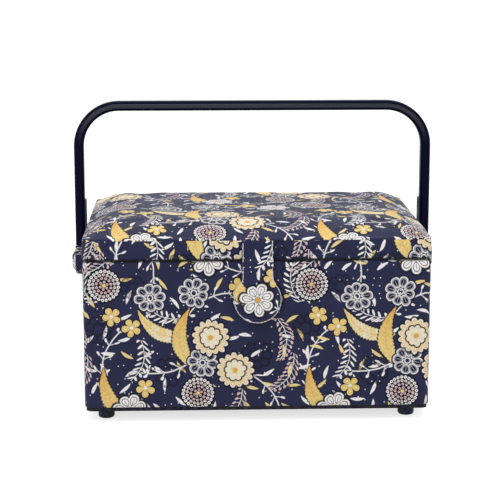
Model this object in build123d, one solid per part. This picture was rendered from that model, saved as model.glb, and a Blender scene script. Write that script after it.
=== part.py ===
from build123d import *
from math import sqrt
import os

# Sewing box: a fabric-covered board box with a padded hinged lid, a swinging
# handle, a snap-down closing tab and two stacked lift-out trays.
# Frame: X across the width, -Y is the front, +Z up, origin on the floor under
# the middle of the body. All lengths are in millimetres.

# ---- Driving sizes -------------------------------------------------------

# Box outside
box_width = 320.0
box_depth = 236.0
rim_height = 152.5
lid_skirt_height = 18.1
corner_radius = 6.0

# Materials of the casing
cover_thickness = 1.0
board_thickness = 4.0
lining_thickness = 0.8
lid_board_thickness = 3.0
base_panel_thickness = 3.5
base_panel_inset = 1.2

# Padded lid
pad_height = 14.0
pad_crown_rise = 8.1
pad_side_round = 12.0
pad_front_round = 5.5

# Clearances
seat_gap = 0.3
bore_clearance = 0.05
tray_side_clearance = 4.2

# Feet
foot_height = 10.5
foot_radius = 7.7
foot_inset = 19.0
foot_edge_round = 2.6
foot_screw_radius = 1.6
foot_screw_bite = 6.0
foot_screw_head_radius = 3.4
foot_screw_head_height = 1.6

# Fabric hinge: two tapes and a free strip between them, which folds at both edges
tape_thickness = 1.0
tape_reach = 26.0
tape_end_inset = 12.0
fold_to_edge = 1.5
fold_gap = 0.6

# Handle
handle_top = 287.0
handle_corner_radius = 44.0
handle_leg_thickness = 9.6
handle_bar_thickness = 9.5
handle_section_depth = 13.0
handle_section_round = 3.6
leg_plate_thickness = 1.4
leg_plate_top = 191.0
leg_plate_depth = 10.0

# Handle pivots
pivot_below_rim = 21.5
pivot_pin_radius = 3.5
pivot_head_radius = 7.0
pivot_head_height = 2.0
pivot_flange_radius = 12.5
pivot_flange_height = 1.4
washer_thickness = 1.5
washer_radius = 13.0
end_cover_radius = 14.5
end_cover_skin = 0.8
end_cover_round = 2.2

# Closing tab
tab_neck_width = 29.0
tab_bulb_radius = 22.6
tab_bulb_drop = 36.0
tab_neck_round = 11.0
tab_thickness = 3.4
tab_edge_round = 1.2
tab_hinge_rise = 2.0
tab_hinge_gap = 2.2

# Magnetic snap
snap_radius = 9.0
snap_socket_height = 1.4
snap_stud_radius = 7.0
snap_stud_height = 0.4

# Trays
ledge_width = 10.0
ledge_height = 70.5
tray_height = 28.0
tray_wall = 1.8
tray_flange = 3.0
tray_corner_radius = 10.0
finger_notch_radius = 13.0
upper_end_bay = 92.0
upper_rear_bay = 104.0
lower_right_bay = 150.0
lower_front_bay = 92.0

# Fittings inside the lid
pocket_width = 190.0
pocket_depth = 75.0
pocket_thickness = 4.0
pocket_hinge_margin = 45.0
elastic_width = 8.0
elastic_thickness = 5.0
cushion_length = 92.0
cushion_width = 50.0
cushion_thickness = 10.0
cushion_round = 4.0
cushion_gap = 12.0

# ---- Levels and places worked out from the sizes ---------------------------

base_top = foot_height + base_panel_thickness
board_foot = base_top + cover_thickness
floor_board_top = board_foot + board_thickness
floor_top = floor_board_top + lining_thickness
board_rim = rim_height - cover_thickness
wall_thickness = cover_thickness + board_thickness + lining_thickness
board_corner_radius = corner_radius - cover_thickness

half_width = box_width / 2
half_depth = box_depth / 2
pad_crown_radius = (half_depth**2 + pad_crown_rise**2) / (2 * pad_crown_rise)
cavity_half_width = half_width - wall_thickness
cavity_half_depth = half_depth - wall_thickness
board_half_width = half_width - cover_thickness
board_half_depth = half_depth - cover_thickness
board_inner_half_width = board_half_width - board_thickness
board_inner_half_depth = board_half_depth - board_thickness

lid_foot = rim_height + seat_gap
lid_board_foot = lid_foot + cover_thickness
crease_height = lid_foot + lid_skirt_height
lid_board_underside = crease_height - lid_board_thickness
lid_ceiling = lid_board_underside - lining_thickness
lower_fold = rim_height - fold_to_edge
upper_fold = lid_foot + fold_to_edge

pivot_height = rim_height - pivot_below_rim
washer_outer = half_width + washer_thickness
end_cover_inner = washer_outer + seat_gap
leg_plate_inner = end_cover_inner + end_cover_skin
leg_inner = leg_plate_inner + leg_plate_thickness
leg_outer = leg_inner + handle_leg_thickness
end_cover_outer = leg_outer + end_cover_skin
eye_radius = end_cover_radius - end_cover_skin

tab_hinge_height = lid_foot + tab_hinge_rise
tab_flap_back = half_depth + snap_socket_height + seat_gap + snap_stud_height
tab_bulb_height = rim_height - tab_bulb_drop

tray_half_width = cavity_half_width - tray_side_clearance
tray_half_depth = cavity_half_depth - tray_side_clearance
ledge_top = floor_top + ledge_height
lower_tray_foot = ledge_top + seat_gap
upper_tray_foot = lower_tray_foot + tray_height + seat_gap


# ---- Shape helpers -----------------------------------------------------------

def block(x_low, x_high, y_low, y_high, z_low, z_high):
    """A square-edged box between two corners."""
    size = Box(x_high - x_low, y_high - y_low, z_high - z_low)
    return Pos((x_low + x_high) / 2, (y_low + y_high) / 2, (z_low + z_high) / 2) * size


def centred_block(half_x, half_y, z_low, z_high):
    """A square-edged box centred on the Z axis."""
    return block(-half_x, half_x, -half_y, half_y, z_low, z_high)


def slab(half_x, half_y, z_low, z_high, radius):
    """A box centred on the Z axis with its upright corners rounded."""
    outline = RectangleRounded(2 * half_x, 2 * half_y, radius)
    return Pos(0, 0, z_low) * extrude(outline, z_high - z_low)


def rod(x_low, x_high, radius, height):
    """A round bar along X at the handle's pivot line."""
    bar = Rot(0, 90, 0) * Cylinder(radius, x_high - x_low)
    return Pos((x_low + x_high) / 2, 0, height) * bar


def front_disc(radius, y_low, y_high, height):
    """A round disc that faces the front."""
    disc = Rot(90, 0, 0) * Cylinder(radius, y_high - y_low)
    return Pos(0, (y_low + y_high) / 2, height) * disc


def mirrored(shape):
    """The same shape on the other side of the box."""
    return mirror(shape, about=Plane.YZ)


def arch_face(half_x, z_low, z_high, radius):
    """An upright face across the box: a rectangle with its top corners rounded."""
    with BuildSketch(Plane.XZ) as face:
        with Locations((0, (z_low + z_high) / 2)):
            Rectangle(2 * half_x, z_high - z_low)
        fillet(face.vertices().group_by(Axis.Y)[-1], radius)
    return face.sketch


def crown_face(half_y, edge_height, height, radius):
    """An upright face from front to back under a crowned arc, its top corners rounded."""
    with BuildSketch(Plane.YZ) as face:
        with BuildLine():
            Polyline((-half_y, edge_height), (-half_y, 0), (half_y, 0), (half_y, edge_height))
            ThreePointArc((-half_y, edge_height), (0, height), (half_y, edge_height))
        make_face()
        fillet(face.vertices().group_by(Axis.Y)[-1], radius)
    return face.sketch


def pad_dome(inset):
    """The crowned lid pad above the crease, drawn in by an even inset."""
    half_x = half_width - inset
    half_y = half_depth - inset
    height = pad_height - inset
    crown = pad_crown_radius - inset
    edge_height = height - (crown - sqrt(crown**2 - half_y**2))
    across = extrude(arch_face(half_x, 0, height, pad_side_round - inset), half_y, both=True)
    along = extrude(crown_face(half_y, edge_height, height, pad_front_round - inset), half_x, both=True)
    plan = slab(half_x, half_y, 0, height, corner_radius - inset)
    return Pos(0, 0, crease_height) * (across & along & plan)


# ---- Body --------------------------------------------------------------------

def pivot_bore():
    """The clearance hole for both pivot pins, right across the body."""
    return rod(-half_width, half_width, pivot_pin_radius + bore_clearance, pivot_height)


def back_zone(z_low, z_high):
    """The region that the back board and the lid's back rail are cut from."""
    return block(-half_width, half_width, board_inner_half_depth, half_depth, z_low, z_high)


def side_zone(z_low, z_high):
    """The region that the right board and the lid's right rail are cut from."""
    reach = board_inner_half_depth
    return block(board_inner_half_width, half_width, -reach, reach, z_low, z_high)


def wall_boards():
    """The four upright boards: long front and back, short sides between them."""
    outside = slab(board_half_width, board_half_depth, board_foot, board_rim, board_corner_radius)
    inside = centred_block(board_inner_half_width, board_inner_half_depth, board_foot, board_rim)
    ring = outside - inside - pivot_bore()
    back = ring & back_zone(board_foot, board_rim)
    right = ring & side_zone(board_foot, board_rim)
    return {
        "back_board": back,
        "front_board": mirror(back, about=Plane.XZ),
        "right_board": right,
        "left_board": mirrored(right),
    }


def foot_places():
    """The four feet: name and the centre of each on the floor."""
    x = half_width - foot_inset
    y = half_depth - foot_inset
    return {
        "front_left_foot": (-x, -y),
        "front_right_foot": (x, -y),
        "back_left_foot": (-x, y),
        "back_right_foot": (x, y),
    }


def foot_screw_bores():
    """The holes of the foot screws through the base."""
    reach = floor_board_top - foot_height + foot_screw_bite
    bores = []
    for x, y in foot_places().values():
        bores.append(Pos(x, y, floor_board_top - reach / 2) * Cylinder(foot_screw_radius, reach))
    return Compound(bores)


def foot_screw(x, y):
    """One countersunk-flush wood screw from the floor board into a foot."""
    low = foot_height - foot_screw_bite
    shank_top = floor_board_top - foot_screw_head_height
    shank = Pos(x, y, (low + shank_top) / 2) * Cylinder(foot_screw_radius, shank_top - low)
    head_middle = floor_board_top - foot_screw_head_height / 2
    head = Pos(x, y, head_middle) * Cylinder(foot_screw_head_radius, foot_screw_head_height)
    return shank + head


def foot_knob(x, y):
    """One moulded knob foot with a rounded lower edge and a blind screw hole."""
    knob = Pos(x, y, foot_height / 2) * Cylinder(foot_radius, foot_height)
    knob = fillet(knob.edges().group_by(Axis.Z)[0], foot_edge_round)
    hole_middle = foot_height - foot_screw_bite / 2
    return knob - Pos(x, y, hole_middle) * Cylinder(foot_screw_radius, foot_screw_bite)


def base_pieces():
    """The floor board inside the walls and the dark panel under the box."""
    bores = foot_screw_bores()
    floor_board = centred_block(board_inner_half_width, board_inner_half_depth, board_foot, floor_board_top)
    screws = [foot_screw(x, y) for x, y in foot_places().values()]
    panel = slab(
        half_width - base_panel_inset, half_depth - base_panel_inset, foot_height, base_top, corner_radius
    )
    return {
        "floor_board": floor_board - Compound(screws),
        "base_panel": panel - bores,
        "foot_screws": Compound(screws),
    }


def body_cover():
    """The printed cloth round the walls, turned over the rim and under the base."""
    outside = slab(half_width, half_depth, base_top, rim_height, corner_radius)
    boards = slab(board_half_width, board_half_depth, board_foot, board_rim, board_corner_radius)
    mouth = centred_block(cavity_half_width, cavity_half_depth, board_rim, rim_height)
    return outside - boards - mouth - pivot_bore() - foot_screw_bores()


def body_lining():
    """The plain lining of the walls and the floor."""
    outside = centred_block(board_inner_half_width, board_inner_half_depth, floor_board_top, board_rim)
    inside = centred_block(cavity_half_width, cavity_half_depth, floor_top, board_rim)
    return outside - inside - pivot_bore()


def tray_ledge():
    """The lined board strip on the right wall that the trays stand on."""
    inner = cavity_half_width - ledge_width
    return block(inner, cavity_half_width, -cavity_half_depth, cavity_half_depth, floor_top, ledge_top)


def hinge_cloth(y_inner, z_low, z_high):
    """One stretch of the cloth hinge across the back."""
    reach = half_width - tape_end_inset
    return block(-reach, reach, y_inner, half_depth + tape_thickness, z_low, z_high)


def hinge_pieces():
    """The tape glued on the body, the free strip over the seam and the tape glued on the lid."""
    half_gap = fold_gap / 2
    strip_inner = half_depth + seat_gap
    return {
        "body_hinge_tape": hinge_cloth(half_depth, rim_height - tape_reach, lower_fold - half_gap),
        "hinge_strip": hinge_cloth(strip_inner, lower_fold + half_gap, upper_fold - half_gap),
        "lid_hinge_tape": hinge_cloth(half_depth, upper_fold + half_gap, crease_height),
    }


# ---- Lid ---------------------------------------------------------------------

def lid_rails():
    """The four rails of the lid frame."""
    foot, top = lid_board_foot, lid_board_underside
    outside = slab(board_half_width, board_half_depth, foot, top, board_corner_radius)
    inside = centred_block(board_inner_half_width, board_inner_half_depth, foot, top)
    ring = outside - inside
    back = ring & back_zone(foot, top)
    right = ring & side_zone(foot, top)
    return {
        "lid_back_rail": back,
        "lid_front_rail": mirror(back, about=Plane.XZ),
        "lid_right_rail": right,
        "lid_left_rail": mirrored(right),
    }


def lid_top_board():
    """The flat board that closes the lid frame and carries the pad."""
    return slab(board_half_width, board_half_depth, lid_board_underside, crease_height, board_corner_radius)


def lid_cover():
    """The printed cloth over the pad, down the skirt and in under the rails."""
    skirt = slab(half_width, half_depth, lid_foot, crease_height, corner_radius)
    frame = slab(board_half_width, board_half_depth, lid_board_foot, crease_height, board_corner_radius)
    mouth = centred_block(cavity_half_width, cavity_half_depth, lid_foot, lid_board_foot)
    return (skirt - frame - mouth) + (pad_dome(0) - pad_dome(cover_thickness))


def lid_lining():
    """The plain lining inside the lid frame."""
    foot, top = lid_board_foot, lid_board_underside
    outside = centred_block(board_inner_half_width, board_inner_half_depth, foot, top)
    inside = centred_block(cavity_half_width, cavity_half_depth, foot, lid_ceiling)
    return outside - inside


def lid_fittings():
    """The gathered pocket with its elastic, and the pin cushion in front of it."""
    pocket_back = cavity_half_depth - pocket_hinge_margin
    pocket_front = pocket_back - pocket_depth
    elastic_front = pocket_front - elastic_width
    half_pocket = pocket_width / 2
    pocket = block(
        -half_pocket, half_pocket, pocket_front, pocket_back, lid_ceiling - pocket_thickness, lid_ceiling
    )
    pocket = fillet(pocket.edges().group_by(Axis.Z)[0], pocket_thickness / 2)
    elastic = block(
        -half_pocket, half_pocket, elastic_front, pocket_front, lid_ceiling - elastic_thickness, lid_ceiling
    )
    elastic = fillet(elastic.edges().filter_by(Axis.X).group_by(Axis.Z)[0], elastic_thickness / 3)
    cushion_back = elastic_front - cushion_gap
    cushion = block(
        -cushion_length / 2,
        cushion_length / 2,
        cushion_back - cushion_width,
        cushion_back,
        lid_ceiling - cushion_thickness,
        lid_ceiling,
    )
    cushion = fillet(cushion.edges().filter_by(Axis.Z), 2 * cushion_round)
    cushion = fillet(cushion.edges().group_by(Axis.Z)[0], cushion_round)
    return {"lid_pocket": pocket, "pocket_elastic": elastic, "pin_cushion": cushion}


# ---- Closing tab -------------------------------------------------------------

def tab_outline():
    """The tab's face: a straight neck that swells into a round bulb."""
    with BuildSketch(Plane.XZ) as outline:
        neck_length = crease_height - tab_bulb_height
        with Locations((0, tab_bulb_height + neck_length / 2)):
            Rectangle(tab_neck_width, neck_length)
        with Locations((0, tab_bulb_height)):
            Circle(tab_bulb_radius)
        between = outline.vertices().filter_by_position(
            Axis.Y, tab_bulb_height + 1, crease_height - 1
        )
        fillet(between, tab_neck_round)
    return outline.sketch


def tab_piece(y_back, z_low, z_high):
    """The stretch of the padded tab between two levels, standing off the front."""
    whole = Pos(0, -y_back, 0) * extrude(tab_outline(), tab_thickness)
    zone = block(
        -half_width, half_width, -(y_back + tab_thickness), -y_back, z_low, z_high
    )
    piece = whole & zone
    return fillet(piece.edges().group_by(Axis.Y)[0], tab_edge_round)


def closure_pieces():
    """The tab's sewn root and swinging flap, and the two halves of the snap."""
    flap_foot = tab_bulb_height - tab_bulb_radius
    front = -half_depth
    socket_face = front - snap_socket_height
    stud_face = socket_face - seat_gap
    return {
        "tab_root": tab_piece(half_depth, tab_hinge_height + tab_hinge_gap / 2, crease_height),
        "tab_flap": tab_piece(tab_flap_back, flap_foot, tab_hinge_height - tab_hinge_gap),
        "snap_socket": front_disc(snap_radius, socket_face, front, tab_bulb_height),
        "snap_stud": front_disc(snap_stud_radius, stud_face - snap_stud_height, stud_face, tab_bulb_height),
    }


# ---- Handle ------------------------------------------------------------------

def handle_frame():
    """The moulded handle: one U with an eye at the foot of each leg."""
    inner_radius = handle_corner_radius - handle_leg_thickness
    outer_face = arch_face(leg_outer, pivot_height, handle_top, handle_corner_radius)
    inner_face = arch_face(leg_inner, pivot_height, handle_top - handle_bar_thickness, inner_radius)
    half_section = handle_section_depth / 2
    bow = extrude(outer_face - inner_face, half_section, both=True)
    faces = bow.faces().filter_by(Axis.Y)
    long_edges = [e for e in faces.edges() if e.bounding_box().max.Z > pivot_height + 0.01]
    bow = fillet(long_edges, handle_section_round)
    eye = rod(leg_plate_inner, leg_outer, eye_radius, pivot_height)
    bore = rod(-leg_outer, leg_outer, pivot_pin_radius + bore_clearance, pivot_height)
    return bow + eye + mirrored(eye) - bore


def leg_plate():
    """The stiffening plate on the inside of the right leg."""
    half_plate = leg_plate_depth / 2
    plate = block(leg_plate_inner, leg_inner, -half_plate, half_plate, pivot_height, leg_plate_top)
    return plate - rod(leg_plate_inner, leg_outer, eye_radius, pivot_height)


def handle_end_cover(frame):
    """The cloth-covered cap round the right eye, cut to fit the leg and its plate."""
    cap = rod(end_cover_inner, end_cover_outer, end_cover_radius, pivot_height)
    cap = fillet(cap.edges().filter_by(GeomType.CIRCLE), end_cover_round)
    bore = rod(end_cover_inner, end_cover_outer, pivot_pin_radius + bore_clearance, pivot_height)
    return cap - frame - leg_plate() - bore


def pivot_pin():
    """The right pivot rivet: a domed head outside and a wide backing flange inside."""
    flange_inner = cavity_half_width - seat_gap - pivot_flange_height
    head_inner = end_cover_outer + seat_gap
    head_outer = head_inner + pivot_head_height
    head = rod(head_inner, head_outer, pivot_head_radius, pivot_height)
    head = fillet(head.edges().sort_by(Axis.X)[-1], pivot_head_height * 0.8)
    flange = rod(flange_inner, flange_inner + pivot_flange_height, pivot_flange_radius, pivot_height)
    return rod(flange_inner, head_inner, pivot_pin_radius, pivot_height) + head + flange


def pivot_washer():
    """The steel spacer between the body's right side and the handle's end."""
    disc = rod(half_width, washer_outer, washer_radius, pivot_height)
    return disc - rod(half_width, washer_outer, pivot_pin_radius + bore_clearance, pivot_height)


# ---- Trays -------------------------------------------------------------------

def tray(foot, dividers):
    """A moulded open tray with a top flange, finger notches and dividers."""
    top = foot + tray_height
    tub_half_width = tray_half_width - tray_flange
    tub_half_depth = tray_half_depth - tray_flange
    tub_radius = tray_corner_radius - tray_flange
    tub = slab(tub_half_width, tub_half_depth, foot, top, tub_radius)
    hollow = slab(
        tub_half_width - tray_wall, tub_half_depth - tray_wall, foot + tray_wall, top, tub_radius - tray_wall
    )
    flange = slab(tray_half_width, tray_half_depth, top - tray_wall, top, tray_corner_radius)
    shell = tub + flange - hollow
    for divider in dividers:
        shell = shell + divider
    notch = rod(-tray_half_width, tray_half_width, finger_notch_radius, top)
    kept = block(
        -tub_half_width + tray_wall, tub_half_width - tray_wall, -tray_half_depth, tray_half_depth, foot, top
    )
    return shell - (notch - kept)


def cross_divider(x, foot, y_low, y_high):
    """A divider wall that runs from front to back at one place across the tray."""
    half_wall = tray_wall / 2
    return block(x - half_wall, x + half_wall, y_low, y_high, foot + tray_wall, foot + tray_height)


def long_divider(y, foot, x_low, x_high):
    """A divider wall that runs across the tray at one place in its depth."""
    half_wall = tray_wall / 2
    return block(x_low, x_high, y - half_wall, y + half_wall, foot + tray_wall, foot + tray_height)


def upper_tray():
    """Six bays: two at each end and two in the middle."""
    reach_x = tray_half_width - tray_flange - tray_wall
    reach_y = tray_half_depth - tray_flange - tray_wall
    side = reach_x - upper_end_bay
    rear = reach_y - upper_rear_bay
    foot = upper_tray_foot
    return tray(
        foot,
        [
            cross_divider(-side, foot, -reach_y, reach_y),
            cross_divider(side, foot, -reach_y, reach_y),
            long_divider(0, foot, -reach_x, -side),
            long_divider(rear, foot, -side, side),
        ],
    )


def lower_tray():
    """Three bays: one long bay on the left and two on the right."""
    reach_x = tray_half_width - tray_flange - tray_wall
    reach_y = tray_half_depth - tray_flange - tray_wall
    split_x = reach_x - lower_right_bay
    split_y = lower_front_bay - reach_y
    foot = lower_tray_foot
    return tray(
        foot,
        [
            cross_divider(split_x, foot, -reach_y, reach_y),
            long_divider(split_y, foot, split_x, reach_x),
        ],
    )


# ---- All pieces --------------------------------------------------------------

def all_pieces():
    """Every node's name with its solid."""
    frame = handle_frame()
    right_ledge = tray_ledge()
    right_plate = leg_plate()
    right_cover = handle_end_cover(frame)
    right_pin = pivot_pin()
    right_washer = pivot_washer()
    pieces = {}
    pieces.update(wall_boards())
    pieces.update(base_pieces())
    for name, (x, y) in foot_places().items():
        pieces[name] = foot_knob(x, y)
    pieces["body_cover"] = body_cover()
    pieces["body_lining"] = body_lining()
    pieces["right_tray_ledge"] = right_ledge
    pieces["left_tray_ledge"] = mirrored(right_ledge)
    pieces.update(hinge_pieces())
    pieces.update(lid_rails())
    pieces["lid_top_board"] = lid_top_board()
    pieces["lid_foam_pad"] = pad_dome(cover_thickness)
    pieces["lid_cover"] = lid_cover()
    pieces["lid_lining"] = lid_lining()
    pieces.update(lid_fittings())
    pieces.update(closure_pieces())
    pieces["handle_frame"] = frame
    pieces["right_leg_plate"] = right_plate
    pieces["left_leg_plate"] = mirrored(right_plate)
    pieces["right_handle_end_cover"] = right_cover
    pieces["left_handle_end_cover"] = mirrored(right_cover)
    pieces["right_pivot_pin"] = right_pin
    pieces["left_pivot_pin"] = mirrored(right_pin)
    pieces["right_pivot_washer"] = right_washer
    pieces["left_pivot_washer"] = mirrored(right_washer)
    pieces["upper_tray"] = upper_tray()
    pieces["lower_tray"] = lower_tray()
    return pieces


os.makedirs("parts", exist_ok=True)
for node, shape in all_pieces().items():
    export_step(shape, f"parts/{node}.step")
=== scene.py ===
"""Sewing box with trays: its cloth, padding, finishes and studio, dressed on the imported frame.

Lengths are in metres in the frame's own axes: X across the width, -Y the front, Z up.
"""

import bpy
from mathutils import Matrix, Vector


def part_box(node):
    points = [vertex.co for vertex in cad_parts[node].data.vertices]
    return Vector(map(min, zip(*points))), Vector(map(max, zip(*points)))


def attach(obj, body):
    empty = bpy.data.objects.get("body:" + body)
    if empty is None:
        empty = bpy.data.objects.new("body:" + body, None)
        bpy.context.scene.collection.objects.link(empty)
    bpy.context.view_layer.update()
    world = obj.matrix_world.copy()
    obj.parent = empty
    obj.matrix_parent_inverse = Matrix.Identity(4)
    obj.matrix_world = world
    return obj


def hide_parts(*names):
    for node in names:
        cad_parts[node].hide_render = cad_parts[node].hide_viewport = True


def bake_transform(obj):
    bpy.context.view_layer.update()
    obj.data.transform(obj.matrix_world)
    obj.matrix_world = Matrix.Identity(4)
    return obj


bl_info = {
    "name": "Sewing box with trays",
    "version": (1, 0, 0),
    "blender": (4, 5, 0),
    "location": "View3D > Sidebar > Sewing box",
    "description": "Dresses a cloth-covered sewing box: printed cotton, padded lid, handle, trays and studio",
    "category": "Object",
}

import math

import bmesh
import bpy
from mathutils import Matrix, Vector, noise

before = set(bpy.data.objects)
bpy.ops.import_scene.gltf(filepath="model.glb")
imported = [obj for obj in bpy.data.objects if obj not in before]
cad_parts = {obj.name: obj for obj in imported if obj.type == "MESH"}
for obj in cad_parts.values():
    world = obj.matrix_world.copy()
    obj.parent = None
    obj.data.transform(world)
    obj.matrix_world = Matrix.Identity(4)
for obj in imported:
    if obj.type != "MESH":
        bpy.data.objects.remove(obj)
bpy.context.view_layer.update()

# ---- Places read from the frame ------------------------------------------------

BODY_LOW, BODY_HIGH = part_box("body_cover")
LID_LOW, LID_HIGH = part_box("lid_cover")
BODY_LINING_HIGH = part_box("body_lining")[1]
LID_LINING_LOW, LID_LINING_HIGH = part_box("lid_lining")
FLOOR_BOARD_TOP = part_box("floor_board")[1].z
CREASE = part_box("lid_foam_pad")[0].z
PIVOT_Z = (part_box("right_pivot_washer")[0].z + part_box("right_pivot_washer")[1].z) / 2

# ---- Sizes of the cloth work -----------------------------------------------------

# Room that the frame leaves for the cover and for the lining
COVER = 0.001
LINING = 0.0008
MOUTH_X = BODY_LINING_HIGH.x - LINING
MOUTH_Y = BODY_LINING_HIGH.y - LINING

# Radius of the box's upright corners, and how much cloth is turned in over an edge
CORNER = 0.006
CORNER_STEPS = 6

# Spacing of the cloth grids that have no setting
WALL_GRID = 0.005
LINING_GRID = 0.008
CAP_GRID = 0.0009

# Height of the pad's upright edge, and the power that shapes its fall to the edges
PAD_EDGE = 0.0014
PAD_ROUNDNESS = 1.35

# Half the height between the two points that the closing tab step works out round the join of its flap and
# root
TAB_BEND = 0.0035

HINGE_STITCH_INSET = 0.0028
COLLAR_HALF_DEPTH = 0.0076
GATHER_PITCH = 0.0076
RUCHE_PITCH = 0.0042


def screen(red, green, blue):
    """A colour as a colour picker shows it, in the linear values that a shader takes."""
    shares = [value / 255 for value in (red, green, blue)]
    return tuple(s / 12.92 if s <= 0.04045 else ((s + 0.055) / 1.055) ** 2.4 for s in shares)


# ---- Settings ----------------------------------------------------------------

def colour_setting(name, description, default):
    return bpy.props.FloatVectorProperty(
        name=name, description=description, default=default, subtype="COLOR", size=3, min=0.0, max=1.0
    )


def length_setting(name, description, default):
    return bpy.props.FloatProperty(
        name=name, description=description, default=default, min=0.0, unit="LENGTH", subtype="DISTANCE"
    )


def angle_setting(name, description, degrees):
    return bpy.props.FloatProperty(
        name=name, description=description, default=math.radians(degrees), subtype="ANGLE"
    )


def power_setting(name, description, default):
    return bpy.props.FloatProperty(
        name=name, description=description, default=default, min=0.0, unit="POWER"
    )


class ClothSettings(bpy.types.PropertyGroup):
    """Sizes and colours of the printed cotton and the plain cloths"""

    ground: colour_setting("Ground", "Navy ground of the print", screen(45, 48, 80))
    deep_ground: colour_setting("Deep ground", "Darker patches of the navy ground", screen(34, 36, 63))
    ink: colour_setting("Ink", "Dark drawn lines of the print", screen(12, 11, 26))
    petal: colour_setting("Petal", "White petals and stems", screen(247, 244, 242))
    cream: colour_setting("Cream", "Large cream blooms", screen(245, 237, 221))
    golden: colour_setting("Golden", "Pale golden leaves", screen(240, 216, 142))
    mustard: colour_setting("Mustard", "Deep golden tips and flower hearts", screen(228, 168, 70))
    blush: colour_setting("Blush", "Pink florets", screen(232, 198, 200))
    lining: colour_setting("Lining", "Plain cotton inside the box", screen(222, 208, 188))
    bookcloth: colour_setting("Hinge cloth", "Plain navy cloth of the hinge", screen(50, 53, 80))
    elastic: colour_setting("Elastic", "Gathered band of the pocket", screen(238, 235, 228))
    velvet: colour_setting("Velvet", "Pin cushion", screen(212, 152, 58))
    repeat_width: length_setting("Repeat width", "Distance after which the print repeats across", 0.19)
    thread_spacing: length_setting("Thread spacing", "Distance between two threads of the cotton", 0.0005)
    thickness: length_setting("Cloth thickness", "Printed cotton with its paste layer", 0.0008)
    ripple: length_setting("Ripple", "Unevenness of the cloth on the boards", 0.00022)


class PaddingSettings(bpy.types.PropertyGroup):
    """Sizes of the padded pieces and their sewing"""

    lid_mesh: length_setting("Lid mesh", "Spacing of the pad's cloth grid", 0.0042)
    lid_swell: length_setting("Lid swell", "Most that the pad swells", 0.0012)
    lid_fullness: length_setting("Lid fullness", "Height of the pad in the middle, above its seam", 0.0112)
    lid_end_fall: length_setting("Lid end fall", "Distance over which the pad falls to its ends", 0.026)
    lid_front_fall: length_setting("Lid front fall", "Distance over which it falls to front and back", 0.032)
    seam_pinch: length_setting("Seam pinch", "How far the lid's seam draws in", 0.0006)
    tab_mesh: length_setting("Tab mesh", "Spacing of the tab's cloth grid", 0.0011)
    tab_crown: length_setting("Tab crown", "Extra thickness in the middle of the tab", 0.0005)
    stitch_inset: length_setting("Stitch inset", "Distance of the tab's stitching from its edge", 0.0012)
    stitch_length: length_setting("Stitch length", "Length of one stitch", 0.0032)
    stitch_gap: length_setting("Stitch gap", "Gap between two stitches", 0.0004)
    thread_radius: length_setting("Thread radius", "Half the thickness of the thread", 0.00036)
    cushion_mesh: length_setting("Cushion mesh", "Spacing of the pin cushion's cloth grid", 0.0022)
    cushion_swell: length_setting("Cushion swell", "Most that the pin cushion swells", 0.0022)


class HardwareSettings(bpy.types.PropertyGroup):
    """Colours of the plastic, metal and board pieces"""

    handle: colour_setting("Handle", "Navy moulded handle", screen(8, 11, 36))
    plate: colour_setting("Leg plate", "Painted strip inside each leg", screen(14, 16, 38))
    foot: colour_setting("Feet", "Moulded knob feet", screen(26, 28, 45))
    tray: colour_setting("Trays", "Ivory moulded trays", screen(236, 232, 222))
    base: colour_setting("Base", "Dark paper on the base panel", screen(24, 24, 34))
    board: colour_setting("Board", "Bare fibreboard", screen(190, 168, 138))
    steel: colour_setting("Steel", "Rivets, washers and screws", screen(200, 200, 204))
    nickel: colour_setting("Nickel", "The two halves of the snap", screen(176, 172, 164))


class StudioSettings(bpy.types.PropertyGroup):
    """Camera, lamps and floor"""

    camera_distance: length_setting("Camera distance", "From the point it looks at", 1.546)
    camera_rise: angle_setting("Camera rise", "Angle above the floor", 11.04)
    camera_turn: angle_setting("Camera turn", "Angle to the left of straight on", 2.08)
    camera_roll: angle_setting("Camera roll", "Tilt of the picture", -0.02)
    camera_lens: bpy.props.FloatProperty(
        name="Lens", description="Focal length", default=112.66, min=10.0, unit="CAMERA"
    )
    aim: bpy.props.FloatVectorProperty(
        name="Aim", description="Point the camera looks at", default=(-0.0026, 0.0, 0.1391),
        subtype="TRANSLATION", size=3,
    )
    surround: bpy.props.FloatProperty(
        name="Surround", description="Level of the even white light", default=0.8, min=0.0
    )
    key_power: power_setting("Front lamp", "Power of the soft lamp in front", 19.0)
    top_power: power_setting("Top lamp", "Power of the soft lamp above", 14.0)


class SewingBoxSettings(bpy.types.PropertyGroup):
    """All the sewing box's settings"""

    cloth: bpy.props.PointerProperty(type=ClothSettings)
    padding: bpy.props.PointerProperty(type=PaddingSettings)
    hardware: bpy.props.PointerProperty(type=HardwareSettings)
    studio: bpy.props.PointerProperty(type=StudioSettings)


def settings():
    return bpy.context.scene.sewing_box


# ---- Hand tools: selecting, starting and finishing a piece ---------------------

def clear_selection():
    if bpy.context.mode != "OBJECT":
        bpy.ops.object.mode_set(mode="OBJECT")
    bpy.ops.object.select_all(action="DESELECT")


def take(*pieces):
    """Selects these pieces and nothing else, the first one active."""
    clear_selection()
    for piece in pieces:
        piece.select_set(True)
    bpy.context.view_layer.objects.active = pieces[0]


def named(name):
    piece = bpy.context.object
    piece.name = name
    piece.data.name = name
    return piece


def start_block(name, low, high):
    """A plain block between two corners, to be shaped."""
    low, high = Vector(low), Vector(high)
    clear_selection()
    bpy.ops.mesh.primitive_cube_add(size=1.0, location=(low + high) / 2, scale=high - low)
    bpy.ops.object.transform_apply(location=True, rotation=True, scale=True)
    return named(name)


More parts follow.
